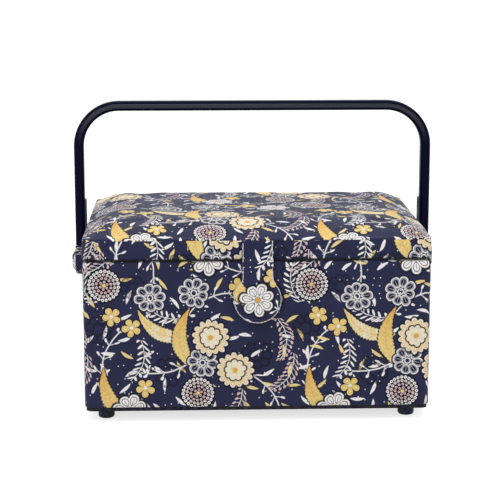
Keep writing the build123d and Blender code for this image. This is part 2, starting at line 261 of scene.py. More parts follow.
def start_from_node(name, node):
    """A loose copy of a frame piece's mesh, its points merged, to be shaped."""
    clear_selection()
    piece = bpy.data.objects.new(name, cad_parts[node].data.copy())
    bpy.context.scene.collection.objects.link(piece)
    take(piece)
    piece.data.name = name
    piece.data.materials.clear()
    if piece.data.has_custom_normals:
        bpy.ops.mesh.customdata_custom_splitnormals_clear()
    open_mesh(piece)
    bpy.ops.mesh.select_all(action="SELECT")
    bpy.ops.mesh.remove_doubles(threshold=1e-6)
    bpy.ops.mesh.normals_make_consistent(inside=False)
    close_mesh()
    return piece


def open_mesh(piece):
    take(piece)
    bpy.ops.object.mode_set(mode="EDIT")


def close_mesh():
    bpy.ops.object.mode_set(mode="OBJECT")


def choose(piece, kind, wanted, needed=True):
    """In edit mode, selects only the points, edges or faces that are wanted."""
    bpy.ops.mesh.select_mode(type=kind)
    bpy.ops.mesh.select_all(action="DESELECT")
    shape = bmesh.from_edit_mesh(piece.data)
    parts = {"VERT": shape.verts, "EDGE": shape.edges, "FACE": shape.faces}[kind]
    found = 0
    for part in parts:
        if wanted(part):
            part.select_set(True)
            found += 1
    if needed and not found:
        raise RuntimeError(f"nothing to choose on {piece.name}")
    shape.select_flush_mode()
    bmesh.update_edit_mesh(piece.data)
    return found


def runs_along(edge, axis):
    way = edge.verts[1].co - edge.verts[0].co
    return way.length > 1e-6 and abs(way[axis]) > 0.999 * way.length


def lies_at(edge, axis, level):
    return all(abs(point.co[axis] - level) < 1e-5 for point in edge.verts)


def round_edges(radius, steps=3):
    """In edit mode, rounds the selected edges."""
    bpy.ops.mesh.bevel(offset=radius, segments=steps, affect="EDGES")


def draw_out(up):
    """In edit mode, extrudes the selected edges or faces straight up."""
    bpy.ops.mesh.extrude_region_move(TRANSFORM_OT_translate={"value": (0.0, 0.0, up)})


def split_evenly(piece, spacing):
    """In edit mode, cuts every long edge so that faces are about as wide as the spacing."""
    for axis in range(3):
        def too_long(edge):
            return runs_along(edge, axis) and edge.calc_length() > 1.7 * spacing

        if choose(piece, "EDGE", too_long, needed=False):
            shape = bmesh.from_edit_mesh(piece.data)
            longest = max(edge.calc_length() for edge in shape.edges if edge.select)
            cuts = max(1, round(longest / spacing) - 1)
            bpy.ops.mesh.subdivide(number_cuts=cuts, quadcorner="STRAIGHT_CUT")


def apply_modifier(piece, kind, **values):
    take(piece)
    modifier = piece.modifiers.new(kind.title(), kind)
    for name, value in values.items():
        setattr(modifier, name, value)
    bpy.ops.object.modifier_apply(modifier=modifier.name)


def make_even(piece, grid, rounds):
    """Gives a piece an even grid of faces and smooths it a few rounds."""
    apply_modifier(piece, "REMESH", mode="VOXEL", voxel_size=grid, adaptivity=0.0)
    apply_modifier(piece, "SMOOTH", factor=0.5, iterations=rounds)


def refine(piece):
    """Splits every face in four and rounds the shape off."""
    apply_modifier(piece, "SUBSURF", levels=1, render_levels=1)


def thicken(piece, thickness):
    """Gives a sheet its thickness on its hidden side."""
    apply_modifier(piece, "SOLIDIFY", thickness=thickness, offset=-1.0, use_even_offset=True)


def soft_look(piece, degrees=50):
    take(piece)
    bpy.ops.object.shade_smooth_by_angle(angle=math.radians(degrees))


def smooth_step(value, low, high):
    share = min(1.0, max(0.0, (value - low) / (high - low)))
    return share * share * (3 - 2 * share)


def ripple(piece, depth, pitch, seed=0.0, stretch=(1.0, 1.0, 1.0), share=None):
    """The slight unevenness of cloth: each point moves a little along its own normal."""
    mesh = piece.data
    normals = [point.normal.copy() for point in mesh.vertices]
    for point, normal in zip(mesh.vertices, normals):
        place = Vector([c * s / pitch for c, s in zip(point.co, stretch)])
        place += Vector((seed, seed * 0.7, seed * 1.3))
        amount = depth * noise.noise(place)
        point.co += normal * amount * (share(point.co) if share else 1.0)
    mesh.update()


def lay_cloth(piece, flat_place):
    """Writes each corner's place on the flat cloth, in metres, to the piece's own map."""
    mesh = piece.data
    layer = mesh.uv_layers.get("cloth") or mesh.uv_layers.new(name="cloth")
    mesh.uv_layers.active = layer
    for face in mesh.polygons:
        normal, middle = face.normal.copy(), face.center.copy()
        for corner in face.loop_indices:
            point = mesh.vertices[mesh.loops[corner].vertex_index].co
            layer.data[corner].uv = flat_place(point, normal, middle)


def cloth_by_side(shift=(0.0, 0.0)):
    """Lays cloth flat on whichever side of the piece a face looks to."""
    def flat_place(point, normal, _middle):
        steepest = max(range(3), key=lambda axis: abs(normal[axis]))
        across = point.y if steepest == 0 else point.x
        up = point.y if steepest == 2 else point.z
        return across + shift[0], up + shift[1]

    return flat_place


def cloth_around(half_x, half_y, radius, shift=(0.0, 0.0)):
    """Lays cloth once round the box, the join in the middle of the back."""
    side_x, side_y, bend = half_x - radius, half_y - radius, radius * math.pi / 2

    def around(x, y):
        x = abs(x)
        if x <= side_x and y <= 0:
            return x
        if x > side_x and y < -side_y:
            return side_x + radius * math.atan2(x - side_x, -(y + side_y))
        if x > side_x and y <= side_y:
            return side_x + bend + y + side_y
        if x > side_x:
            return side_x + bend + 2 * side_y + radius * math.atan2(y - side_y, x - side_x)
        return side_x + 2 * bend + 2 * side_y + side_x - x

    def flat_place(point, _normal, middle):
        sign = -1.0 if middle.x < 0 else 1.0
        turned_in = max(0.0, min(half_x - abs(point.x), half_y - abs(point.y)))
        towards = -1.0 if point.z < (BODY_LOW.z + BODY_HIGH.z) / 2 else 1.0
        return sign * around(point.x, point.y) + shift[0], point.z + towards * turned_in + shift[1]

    return flat_place


def paint_seam_shade(piece, half_x, half_y, share):
    """Marks how far the outer face of a band rounds into its seam, for the painted shade that turns the cloth
    nearly black there.
    """
    painted_seam_shade = piece.data.attributes.new("painted_seam_shade", "FLOAT", "POINT")
    for point in piece.data.vertices:
        outside = max(abs(point.co.x) - half_x, abs(point.co.y) - half_y)
        painted_seam_shade.data[point.index].value = share(point.co.z) * smooth_step(outside, -0.0026, -0.0019)


def settle(piece, name, body, slot=None):
    """Puts a finish on a piece and lets it ride on its body. The slot argument is not used."""
    piece.data.materials.clear()
    piece.data.materials.append(finish(name))
    if body:
        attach(piece, body)
    slot = slot or name


def swell(piece, pressure, cap, is_held):
    """Blows the cloth of a padded piece up a little, then holds every point near its start."""
    mesh = piece.data
    before = [point.co.copy() for point in mesh.vertices]
    group = piece.vertex_groups.new(name="held")
    group.add([point.index for point in mesh.vertices if is_held(point.co)], 1.0, "REPLACE")
    take(piece)
    modifier = piece.modifiers.new("Swell", "CLOTH")
    modifier.settings.quality = 4
    modifier.settings.use_pressure = True
    modifier.settings.uniform_pressure_force = pressure
    modifier.settings.effector_weights.gravity = 0.0
    modifier.settings.vertex_group_mass = "held"
    modifier.collision_settings.use_collision = False
    modifier.collision_settings.use_self_collision = False
    for step in range(1, 21):
        bpy.context.scene.frame_set(step)
    bpy.ops.object.modifier_apply(modifier=modifier.name)
    bpy.context.scene.frame_set(1)
    piece.vertex_groups.clear()
    for point, start in zip(piece.data.vertices, before):
        moved = point.co - start
        if moved.length > cap:
            point.co = start + moved * (cap / moved.length)
    piece.data.update()


# ---- Stitching ---------------------------------------------------------------

def evenly_spaced(path, pitch):
    """Points and directions every pitch along a path of points."""
    lengths = [0.0]
    for start, end in zip(path, path[1:]):
        lengths.append(lengths[-1] + (end - start).length)
    places, count = [], max(1, int(lengths[-1] // pitch))
    slack = (lengths[-1] - count * pitch) / 2
    leg = 0
    for number in range(count):
        along = slack + (number + 0.5) * pitch
        while leg < len(path) - 2 and lengths[leg + 1] < along:
            leg += 1
        start, end = path[leg], path[leg + 1]
        share = (along - lengths[leg]) / max(1e-9, lengths[leg + 1] - lengths[leg])
        places.append((start.lerp(end, share), (end - start).normalized()))
    return places


def stitch_row(name, rows, facing, thread=None, pitch=None):
    """Rows of thread stitches lying on cloth. Facing gives the way out of the cloth at a point."""
    padding = settings().padding
    radius = thread or padding.thread_radius
    pitch = pitch or padding.stitch_length + padding.stitch_gap
    length = pitch * padding.stitch_length / (padding.stitch_length + padding.stitch_gap)
    clear_selection()
    bpy.ops.mesh.primitive_cylinder_add(
        vertices=8, radius=radius, depth=length, rotation=(0.0, math.pi / 2, 0.0)
    )
    bpy.ops.object.transform_apply(location=True, rotation=True, scale=True)
    stitch = named(name)
    open_mesh(stitch)
    choose(stitch, "EDGE", lambda edge: runs_along(edge, 0))
    bpy.ops.mesh.subdivide(number_cuts=2)
    choose(stitch, "EDGE", lambda edge: lies_at(edge, 0, length / 2) or lies_at(edge, 0, -length / 2))
    round_edges(radius * 0.45, 2)
    choose(stitch, "VERT", lambda point: abs(point.co.x) > length * 0.3)
    bpy.ops.transform.translate(value=(0.0, 0.0, -radius * 0.55))
    close_mesh()
    copies = []
    for path in rows:
        for place, along in evenly_spaced([Vector(point) for point in path], pitch):
            out = Vector(facing(place)).normalized()
            side = out.cross(along).normalized()
            out = along.cross(side)
            turn = Matrix((along, side, out)).transposed().to_4x4()
            one = bpy.data.objects.new(name, stitch.data.copy())
            bpy.context.scene.collection.objects.link(one)
            one.data.transform(Matrix.Translation(place + out * radius * 0.3) @ turn)
            copies.append(one)
    bpy.data.objects.remove(stitch)
    take(*copies)
    bpy.ops.object.join()
    row = named(name)
    lay_cloth(row, cloth_by_side())
    soft_look(row, 60)
    return row


# ---- Shader tools --------------------------------------------------------------

def feed(tree, socket, value):
    if isinstance(value, bpy.types.NodeSocket):
        tree.links.new(value, socket)
    elif value is not None:
        socket.default_value = (*value, 1.0) if socket.type == "RGBA" and len(value) == 3 else value


def sums(tree, operation, *values, clamp=False):
    node = tree.nodes.new("ShaderNodeMath")
    node.operation = operation
    node.use_clamp = clamp
    for socket, value in zip(node.inputs, values):
        feed(tree, socket, value)
    return node.outputs[0]


def times(tree, *values):
    return sums(tree, "MULTIPLY", *values)


def minus(tree, *values):
    return sums(tree, "SUBTRACT", *values)


def ratio(tree, *values):
    return sums(tree, "DIVIDE", *values)


def length_of(tree, *values):
    return vectors(tree, "LENGTH", joined(tree, *values))


def vectors(tree, operation, *values):
    node = tree.nodes.new("ShaderNodeVectorMath")
    node.operation = operation
    sockets = [node.inputs[0], node.inputs[3]] if operation == "SCALE" else list(node.inputs)
    for socket, value in zip(sockets, values):
        feed(tree, socket, value)
    return node.outputs["Value"] if operation == "LENGTH" else node.outputs["Vector"]


def parts_of(tree, vector):
    node = tree.nodes.new("ShaderNodeSeparateXYZ")
    feed(tree, node.inputs[0], vector)
    return node.outputs


def joined(tree, x, y, z=0.0):
    node = tree.nodes.new("ShaderNodeCombineXYZ")
    for socket, value in zip(node.inputs, (x, y, z)):
        feed(tree, socket, value)
    return node.outputs[0]


def mixed(tree, share, first, second):
    node = tree.nodes.new("ShaderNodeMix")
    node.data_type = "RGBA"
    for socket, value in zip((node.inputs[0], node.inputs[6], node.inputs[7]), (share, first, second)):
        feed(tree, socket, value)
    return node.outputs[2]


def between(tree, share, first, second):
    node = tree.nodes.new("ShaderNodeMix")
    node.data_type = "FLOAT"
    for socket, value in zip((node.inputs[0], node.inputs[2], node.inputs[3]), (share, first, second)):
        feed(tree, socket, value)
    return node.outputs[0]


def ranged(tree, value, low, high, to_low=0.0, to_high=1.0):
    node = tree.nodes.new("ShaderNodeMapRange")
    for socket, given in zip(node.inputs, (value, low, high, to_low, to_high)):
        feed(tree, socket, given)
    return node.outputs[0]


def inside(tree, value, edge, soft=0.03):
    """1 where the value is under the edge and 0 above it."""
    if isinstance(edge, bpy.types.NodeSocket):
        value, edge = minus(tree, value, edge), 0.0
    return ranged(tree, value, edge + soft, edge - soft)


def grain(tree, place, scale, detail=2.0, kind="3D"):
    node = tree.nodes.new("ShaderNodeTexNoise")
    node.noise_dimensions = kind
    feed(tree, node.inputs["Vector"], place)
    node.inputs["Scale"].default_value = scale
    node.inputs["Detail"].default_value = detail
    return node.outputs


def cells(tree, place, scale, spread):
    node = tree.nodes.new("ShaderNodeTexVoronoi")
    node.voronoi_dimensions = "2D"
    feed(tree, node.inputs["Vector"], place)
    node.inputs["Scale"].default_value = scale
    node.inputs["Randomness"].default_value = spread
    return node.outputs


# A socket with any other label takes a number
SOCKET_KINDS = {"Cloth": "Vector", "Place": "Vector", "Colour": "Color"}


def new_group(name, given, made):
    """An empty shader group with its named sockets: (group, input sockets, output sockets)."""
    group = bpy.data.node_groups.new(name, "ShaderNodeTree")

    def add_socket(label, way):
        kind = "NodeSocket" + SOCKET_KINDS.get(label, "Float")
        return group.interface.new_socket(name=label, in_out=way, socket_type=kind)

    for label, value in given.items():
        socket = add_socket(label, "INPUT")
        if value is not None:
            socket.default_value = value
    for label in made:
        add_socket(label, "OUTPUT")
    return group, group.nodes.new("NodeGroupInput").outputs, group.nodes.new("NodeGroupOutput").inputs


def use(tree, name, **given):
    node = tree.nodes.new("ShaderNodeGroup")
    node.node_tree = bpy.data.node_groups[name]
    for label, value in given.items():
        feed(tree, node.inputs[label.replace("_", " ")], value)
    return node.outputs


# ---- Print: the flower drawings, each on a place of about one unit ----------------

def make_placing_group():
    """Turns the cloth's place into a drawing's own place, once in every repeat of the print."""
    group, given, made = new_group(
        "placed_drawing",
        {"Cloth": None, "Across": 0.0, "Up": 0.0, "Turn": 0.0, "Size": 0.01, "Number": 0.0, "Flatness": 1.0,
         "Repeat Width": 0.176, "Repeat Height": 0.132, "Repeat Shift": 0.067},
        ["Place", "Far"],
    )
    place = parts_of(group, given["Cloth"])
    up = minus(group, place[1], given["Up"])
    row = sums(group, "ROUND", ratio(group, up, given["Repeat Height"]))
    up = minus(group, up, times(group, row, given["Repeat Height"]))
    across = minus(group, place[0], given["Across"])
    across = minus(group, across, times(group, row, given["Repeat Shift"]))
    column = sums(group, "ROUND", ratio(group, across, given["Repeat Width"]))
    across = minus(group, across, times(group, column, given["Repeat Width"]))
    cosine, sine = sums(group, "COSINE", given["Turn"]), sums(group, "SINE", given["Turn"])
    x = sums(group, "ADD", times(group, across, cosine), times(group, up, sine))
    y = minus(group, times(group, up, cosine), times(group, across, sine))
    x, y = ratio(group, x, given["Size"]), ratio(group, y, given["Size"])
    feed(group, made["Place"], joined(group, x, y, given["Number"]))
    feed(group, made["Far"], length_of(group, x, times(group, y, given["Flatness"])))


def make_petal_group():
    """One ring of petals: their fill, the rim inside their edge, their lines and a clear edge round them."""
    group, given, made = new_group(
        "petal_ring",
        {"Place": None, "Petals": 8.0, "Start": 0.2, "Reach": 1.0, "Width": 0.2, "Uneven": 0.2},
        ["Petal", "Rim", "Line", "Clear", "Chance"],
    )
    x, y, number = parts_of(group, given["Place"])
    out = length_of(group, x, y)
    turn = times(group, ratio(group, sums(group, "ARCTAN2", y, x), 2 * math.pi), given["Petals"])
    petal = sums(group, "ROUND", turn)
    across = ratio(group, minus(group, turn, petal), given["Petals"])
    angle = times(group, across, 2 * math.pi)
    lot = group.nodes.new("ShaderNodeTexWhiteNoise")
    lot.noise_dimensions = "1D"
    order = sums(group, "FLOORED_MODULO", petal, given["Petals"])
    feed(group, lot.inputs["W"], sums(group, "MULTIPLY_ADD", number, 17.0, order))
    length = minus(group, 1.0, times(group, lot.outputs["Value"], given["Uneven"]))
    length = times(group, length, given["Reach"])
    along = ratio(group, times(group, out, sums(group, "COSINE", angle)), length)
    side = sums(group, "ABSOLUTE", times(group, out, sums(group, "SINE", angle)))
    middle = sums(group, "MULTIPLY_ADD", given["Start"], 0.5, 0.5)
    half = sums(group, "MULTIPLY_ADD", given["Start"], -0.5, 0.5)
    lengthwise = ratio(group, minus(group, along, middle), half)
    wide = times(group, given["Width"], sums(group, "MULTIPLY_ADD", along, 0.75, 0.42))
    crosswise = ratio(group, side, wide)
    far = length_of(group, lengthwise, crosswise)
    vein = times(group, inside(group, side, 0.012, 0.008), inside(group, lengthwise, 0.35, 0.1))
    drawn = times(group, inside(group, far, 0.72, 0.05),
                  minus(group, 1.0, inside(group, far, 0.6, 0.05)))
    feed(group, made["Petal"], inside(group, far, 1.0, 0.06))
    feed(group, made["Rim"], minus(group, 1.0, inside(group, far, 0.8, 0.06)))
    feed(group, made["Line"], sums(group, "MAXIMUM", vein, drawn))
    feed(group, made["Clear"], inside(group, far, 1.28, 0.08))
    feed(group, made["Chance"], lot.outputs["Value"])


def make_leaf_group():
    """One long bowed leaf with a toothed edge, its rib and veins."""
    group, given, made = new_group(
        "bowed_leaf", {"Place": None, "Width": 0.24, "Bow": 0.39}, ["Leaf", "Line", "Clear", "Tone"]
    )
    x, y, _ = parts_of(group, given["Place"])
    arch = sums(group, "MAXIMUM", minus(group, 1.0, times(group, x, x)), 0.0001)
    line = times(group, given["Bow"], minus(group, arch, 0.48))
    off = sums(group, "ABSOLUTE", minus(group, y, line))
    tooth = sums(group, "PINGPONG", sums(group, "MULTIPLY_ADD", x, 9.0, times(group, off, 6.0)), 0.5)
    swing = sums(group, "MULTIPLY_ADD", tooth, 0.3, sums(group, "MULTIPLY_ADD", x, -0.3, 0.88))
    half = times(group, times(group, given["Width"], sums(group, "POWER", arch, 0.8)), swing)
    far = ratio(group, off, half)
    vein = sums(group, "PINGPONG", sums(group, "MULTIPLY_ADD", x, 7.0, times(group, off, -7.0)), 0.5)
    drawn = times(group, inside(group, vein, 0.07, 0.04), inside(group, far, 0.72, 0.1))
    within = inside(group, sums(group, "ABSOLUTE", x), 1.0, 0.01)
    feed(group, made["Leaf"], times(group, inside(group, far, 1.0, 0.08), within))
    feed(group, made["Line"], sums(group, "MAXIMUM", inside(group, off, 0.012, 0.008), drawn))
    clear = inside(group, minus(group, off, half), 0.035, 0.012)
    feed(group, made["Clear"], times(group, clear, within))
    feed(group, made["Tone"], ranged(group, x, -1.0, 1.0))


def make_sprig_group():
    """A thin bowed stem with pairs of slanting berries or small leaves."""
    group, given, made = new_group(
        "paired_sprig",
        {"Place": None, "Pairs": 4.0, "Arm": 0.24, "Berry Width": 0.07, "Berry Length": 0.07, "Bow": 0.39},
        ["Drawn", "Berry", "Line", "Clear"],
    )
    x, y, _ = parts_of(group, given["Place"])
    arch = sums(group, "MAXIMUM", minus(group, 1.0, times(group, x, x)), 0.0)
    line = times(group, given["Bow"], minus(group, arch, 0.48))
    off = sums(group, "ABSOLUTE", minus(group, y, line))
    slanted = times(group, sums(group, "MULTIPLY_ADD", off, -0.75, x), given["Pairs"])
    across = ratio(group, minus(group, slanted, sums(group, "ROUND", slanted)), given["Pairs"])
    arm = times(group, given["Arm"], sums(group, "MULTIPLY_ADD", arch, 0.6, 0.4))
    beyond = ratio(group, minus(group, off, arm), given["Berry Length"])
    berry = length_of(group, ratio(group, across, given["Berry Width"]), beyond)
    within = inside(group, sums(group, "ABSOLUTE", x), 0.93, 0.01)
    stem = inside(group, off, 0.016, 0.01)
    twig = times(group, inside(group, sums(group, "ABSOLUTE", across), 0.012, 0.01),
                inside(group, minus(group, off, arm), 0.0, 0.01))
    fruit = times(group, inside(group, berry, 1.0, 0.1), within)
    drawn = times(group, sums(group, "MAXIMUM", stem, twig), within)
    feed(group, made["Drawn"], sums(group, "MAXIMUM", drawn, fruit))
    feed(group, made["Berry"], fruit)
    feed(group, made["Line"], inside(group, berry, 0.3, 0.12))
    feed(group, made["Clear"], times(group, inside(group, berry, 1.4, 0.1), within))


def make_floret_group():
    """A round head of florets in rings, each ring with six more than the one inside it."""
    group, given, made = new_group(
        "floret_head", {"Place": None, "Rings": 4.0}, ["Floret", "Line", "Clear", "Tone", "Heart"]
    )
    x, y, number = parts_of(group, given["Place"])
    out = length_of(group, x, y)
    spacing = ratio(group, 1.0, sums(group, "ADD", given["Rings"], 0.3))
    ring = sums(group, "ROUND", ratio(group, out, spacing))
    ring = sums(group, "MINIMUM", sums(group, "MAXIMUM", ring, 1.0), given["Rings"])
    count = times(group, ring, 6.0)
    turn = times(group, ratio(group, sums(group, "ARCTAN2", y, x), 2 * math.pi), count)
    turn = sums(group, "ADD", turn, times(group, sums(group, "ADD", ring, number), 0.37))
    off = ratio(group, minus(group, turn, sums(group, "ROUND", turn)), count)
    across = times(group, times(group, off, 2 * math.pi), out)
    along = minus(group, out, times(group, ring, spacing))
    grow = times(group, spacing, sums(group, "MULTIPLY_ADD", ring, 0.035, 0.3))
    far = ratio(group, length_of(group, across, along), grow)
    feed(group, made["Floret"], inside(group, far, 1.0, 0.12))
    feed(group, made["Line"], inside(group, far, 0.34, 0.12))
    feed(group, made["Clear"], inside(group, minus(group, out, 1.0), 0.12, 0.02))
    feed(group, made["Tone"], ranged(group, ring, 2.0, given["Rings"]))
    feed(group, made["Heart"], inside(group, out, times(group, spacing, 0.5), 0.03))


def make_scatter_group():
    """Small plain leaves strewn over the ground, each turned its own way."""
    group, given, made = new_group(
        "strewn_leaves",
        {"Cloth": None, "Half Length": 0.42, "Half Width": 0.095, "Share": 0.7},
        ["Leaf", "Chance"],
    )
    cell = cells(group, given["Cloth"], 1.0, 0.75)
    lots = parts_of(group, cell["Color"])
    turn = group.nodes.new("ShaderNodeVectorRotate")
    turn.rotation_type = "Z_AXIS"
    feed(group, turn.inputs["Vector"], vectors(group, "SUBTRACT", given["Cloth"], cell["Position"]))
    feed(group, turn.inputs["Angle"], times(group, lots[0], 2 * math.pi))
    place = parts_of(group, turn.outputs[0])
    along = ratio(group, place[0], given["Half Length"])
    arch = sums(group, "MAXIMUM", minus(group, 1.0, times(group, along, along)), 0.0001)
    bowed = sums(group, "ABSOLUTE", sums(group, "MULTIPLY_ADD", arch, -0.05, place[1]))
    far = ratio(group, bowed, times(group, given["Half Width"], arch))
    there = sums(group, "LESS_THAN", lots[1], given["Share"])
    feed(group, made["Leaf"], times(group, inside(group, far, 1.0, 0.15), there))
    feed(group, made["Chance"], lots[2])


# The drawn repeat (mm): its width and height, and the sideways step of each repeat above
DRAWN_WIDTH, DRAWN_HEIGHT, DRAWN_SHIFT = 176, 132, 67

# Where each kind is drawn in the repeat: place across and up (mm), turn (degrees), size (mm)
PRINT_LAYOUT = {
    "tendril": [
        (118, 58, 205, 36), (62, 58, 75, 34), (152, 108, 20, 33),
        (20, 22, 300, 34), (98, 12, 155, 30),
    ],
    "shadow_flower": [
        (112, 48, 10, 15), (52, 86, 40, 14), (10, 62, 0, 15),
        (152, 4, 25, 14), (82, 122, 60, 13),
    ],
    "bloom": [(147, 78, 241, 16.5), (168, 49, 214, 16.5)],
    "daisy": [(18, 112, 149, 15.5), (78, 15, 328, 15.5)],
    "outline_daisy": [(133, 117, 253, 14), (140, 56, 126, 14), (96, 113, 321, 14)],
    "cluster": [(136, 29, 180, 13.5), (57, 124, 268, 13.5)],
    "gold_leaf": [(65, 27, 120, 27), (126, 77, 93, 27)],
    "cream_leaf": [(105, 87, 152, 25)],
    "berry_sprig": [(32, 76, 273, 20), (35, 46, 240, 20), (165, 16, 232, 20)],
    "leaf_sprig": [(86, 58, 256, 19), (43, 126, 99, 19), (104, 102, 148, 19)],
    "small_flower": [(80, 87, 331, 8.5), (63, 97, 331, 8.5), (91, 34, 268, 8.5), (171, 122, 176, 8.5)],
}


def nearest_drawing(tree, cloth, kind, flatness=1.0):
    """The place in the nearest drawing of one kind."""
    width = settings().cloth.repeat_width
    unit = width / DRAWN_WIDTH
    best = None
    for number, (across, up, turn, size) in enumerate(PRINT_LAYOUT[kind]):
        spot = use(
            tree, "placed_drawing", Cloth=cloth, Across=across * unit, Up=up * unit, Turn=math.radians(turn),
            Size=size * unit, Number=float(number + 1), Flatness=flatness, Repeat_Width=width,
            Repeat_Height=DRAWN_HEIGHT * unit, Repeat_Shift=DRAWN_SHIFT * unit,
        )
        if best is None:
            best = (spot["Place"], spot["Far"])
        else:
            nearer = sums(tree, "LESS_THAN", spot["Far"], best[1])
            best = (mixed(tree, nearer, best[0], spot["Place"]), between(tree, nearer, best[1], spot["Far"]))
    return best[0]


def make_print_group():
    """The whole printed pattern: its colour at a place on the flat cloth, and where the ink lies thick."""
    paint = settings().cloth
    ground, deep, ink = tuple(paint.ground), tuple(paint.deep_ground), tuple(paint.ink)
    petal, cream, golden = tuple(paint.petal), tuple(paint.cream), tuple(paint.golden)
    mustard, blush = tuple(paint.mustard), tuple(paint.blush)
    group, given, made = new_group("flower_print", {"Cloth": None}, ["Colour", "Printed"])
    sway = vectors(group, "SUBTRACT", grain(group, given["Cloth"], 85.0, 1.0, "2D")["Color"], (0.5, 0.5, 0.5))
    cloth = vectors(group, "ADD", given["Cloth"], vectors(group, "SCALE", sway, 0.0012))

    colour = mixed(group, grain(group, given["Cloth"], 26.0, 2.0, "2D")[0], deep, ground)

    def overprint(share, tint):
        """Prints one more colour over what is there."""
        nonlocal colour
        colour = mixed(group, share, colour, tint)

    strewn = use(group, "strewn_leaves", Cloth=vectors(group, "SCALE", cloth, 1 / 0.0165))
    tint = mixed(group, sums(group, "GREATER_THAN", strewn["Chance"], 0.62), petal, golden)
    overprint(strewn["Leaf"], tint)
    dots = cells(group, cloth, 1 / 0.0062, 0.85)
    dot = times(group, inside(group, dots["Distance"], 0.085, 0.02),
               sums(group, "LESS_THAN", parts_of(group, dots["Color"])[0], 0.3))
    overprint(dot, petal)

    place = nearest_drawing(group, cloth, "shadow_flower")
    ring = use(group, "petal_ring", Place=place, Petals=9.0, Start=0.3, Width=0.27, Uneven=0.2)
    traced = times(group, ring["Petal"], sums(group, "MAXIMUM", ring["Rim"], ring["Line"]))
    overprint(times(group, traced, 0.85), ink)
    place = nearest_drawing(group, cloth, "tendril", 2.4)
    stem = use(group, "paired_sprig", Place=place, Pairs=2.6, Arm=0.17, Berry_Width=0.035, Berry_Length=0.05)
    overprint(stem["Drawn"], petal)

    place = nearest_drawing(group, cloth, "leaf_sprig", 2.2)
    sprig = use(group, "paired_sprig", Place=place, Pairs=4.0, Arm=0.2, Berry_Width=0.055, Berry_Length=0.13)
    overprint(sprig["Clear"], ink)
    overprint(sprig["Drawn"], petal)

    place = nearest_drawing(group, cloth, "berry_sprig", 2.2)
    sprig = use(group, "paired_sprig", Place=place, Pairs=5.0, Arm=0.24,
                Berry_Width=0.062, Berry_Length=0.062)
    overprint(sprig["Clear"], deep)
    fruit = mixed(group, sprig["Berry"], petal, blush)
    overprint(sprig["Drawn"], fruit)
    overprint(times(group, sprig["Line"], sprig["Berry"]), mustard)

    washed = ranged(group, grain(group, cloth, 140.0, 2.0, "2D")[0], 0.35, 0.65)
    for kind, light, dark in (("cream_leaf", cream, golden), ("gold_leaf", golden, mustard)):
        leaf = use(group, "bowed_leaf", Place=nearest_drawing(group, cloth, kind, 2.4))
        overprint(leaf["Clear"], ink)
        tone = sums(group, "POWER", leaf["Tone"], 2.4)
        body = mixed(group, tone, mixed(group, washed, golden, light), dark)
        body = mixed(group, times(group, leaf["Line"], 0.7), body, mustard)
        overprint(leaf["Leaf"], body)

    place = nearest_drawing(group, cloth, "small_flower")
    ring = use(group, "petal_ring", Place=place, Petals=5.0, Start=0.12, Width=0.36, Uneven=0.12)
    overprint(ring["Clear"], ink)
    overprint(ring["Petal"], mixed(group, ring["Line"], golden, mustard))
    overprint(inside(group, from_middle(group, place), 0.17, 0.04), petal)

    place = nearest_drawing(group, cloth, "outline_daisy")
    ring = use(group, "petal_ring", Place=place, Petals=8.0, Start=0.26, Width=0.3, Uneven=0.16)
    overprint(ring["Clear"], deep)
    rim = sums(group, "MAXIMUM", ring["Rim"], times(group, ring["Line"], 0.6))
    rim = times(group, ring["Petal"], rim)
    overprint(rim, petal)
    out = from_middle(group, place)
    heart = inside(group, sums(group, "ABSOLUTE", minus(group, out, 0.17)), 0.035, 0.02)
    overprint(heart, petal)

    place = nearest_drawing(group, cloth, "daisy")
    ring = use(group, "petal_ring", Place=place, Petals=7.0, Start=0.14, Width=0.3, Uneven=0.2)
    overprint(ring["Clear"], ink)
    overprint(ring["Petal"], petal)
    overprint(times(group, ring["Line"], ring["Petal"]), ink)
    overprint(inside(group, from_middle(group, place), 0.13, 0.03), mustard)

    place = nearest_drawing(group, cloth, "cluster")
    head = use(group, "floret_head", Place=place, Rings=4.0)
    overprint(head["Clear"], ink)
    overprint(head["Floret"], mixed(group, head["Tone"], blush, petal))
    overprint(times(group, head["Line"], head["Floret"]), ink)
    overprint(head["Heart"], golden)

    place = nearest_drawing(group, cloth, "bloom")
    out = from_middle(group, place)
    outer = use(group, "petal_ring", Place=place, Petals=15.0, Start=0.3, Width=0.165, Uneven=0.1)
    inner = use(group, "petal_ring", Place=place, Petals=9.0, Start=0.06, Reach=0.58, Width=0.17, Uneven=0.12)
    overprint(outer["Clear"], ink)
    overprint(inside(group, out, 0.8, 0.02), golden)
    tint = mixed(group, ranged(group, out, 0.35, 0.9), golden, cream)
    overprint(outer["Petal"], tint)
    overprint(times(group, outer["Line"], outer["Petal"]), mustard)
    overprint(inner["Clear"], ink)
    overprint(inner["Petal"], mixed(group, inner["Line"], cream, golden))
    overprint(inside(group, out, 0.13, 0.03), mustard)

    blot = grain(group, given["Cloth"], 300.0, 3.0, "2D")[0]
    faded = mixed(group, ranged(group, blot, 0.45, 0.75, 0.0, 0.16), colour, ground)
    feed(group, made["Colour"], faded)
    shade = group.nodes.new("ShaderNodeRGBToBW")
    feed(group, shade.inputs[0], faded)
    feed(group, made["Printed"], ranged(group, shade.outputs[0], 0.06, 0.3))


def from_middle(tree, place):
    """How far a place is from the middle of its drawing."""
    x, y, _ = parts_of(tree, place)
    return length_of(tree, x, y)


# ---- Shared surface effects ------------------------------------------------------

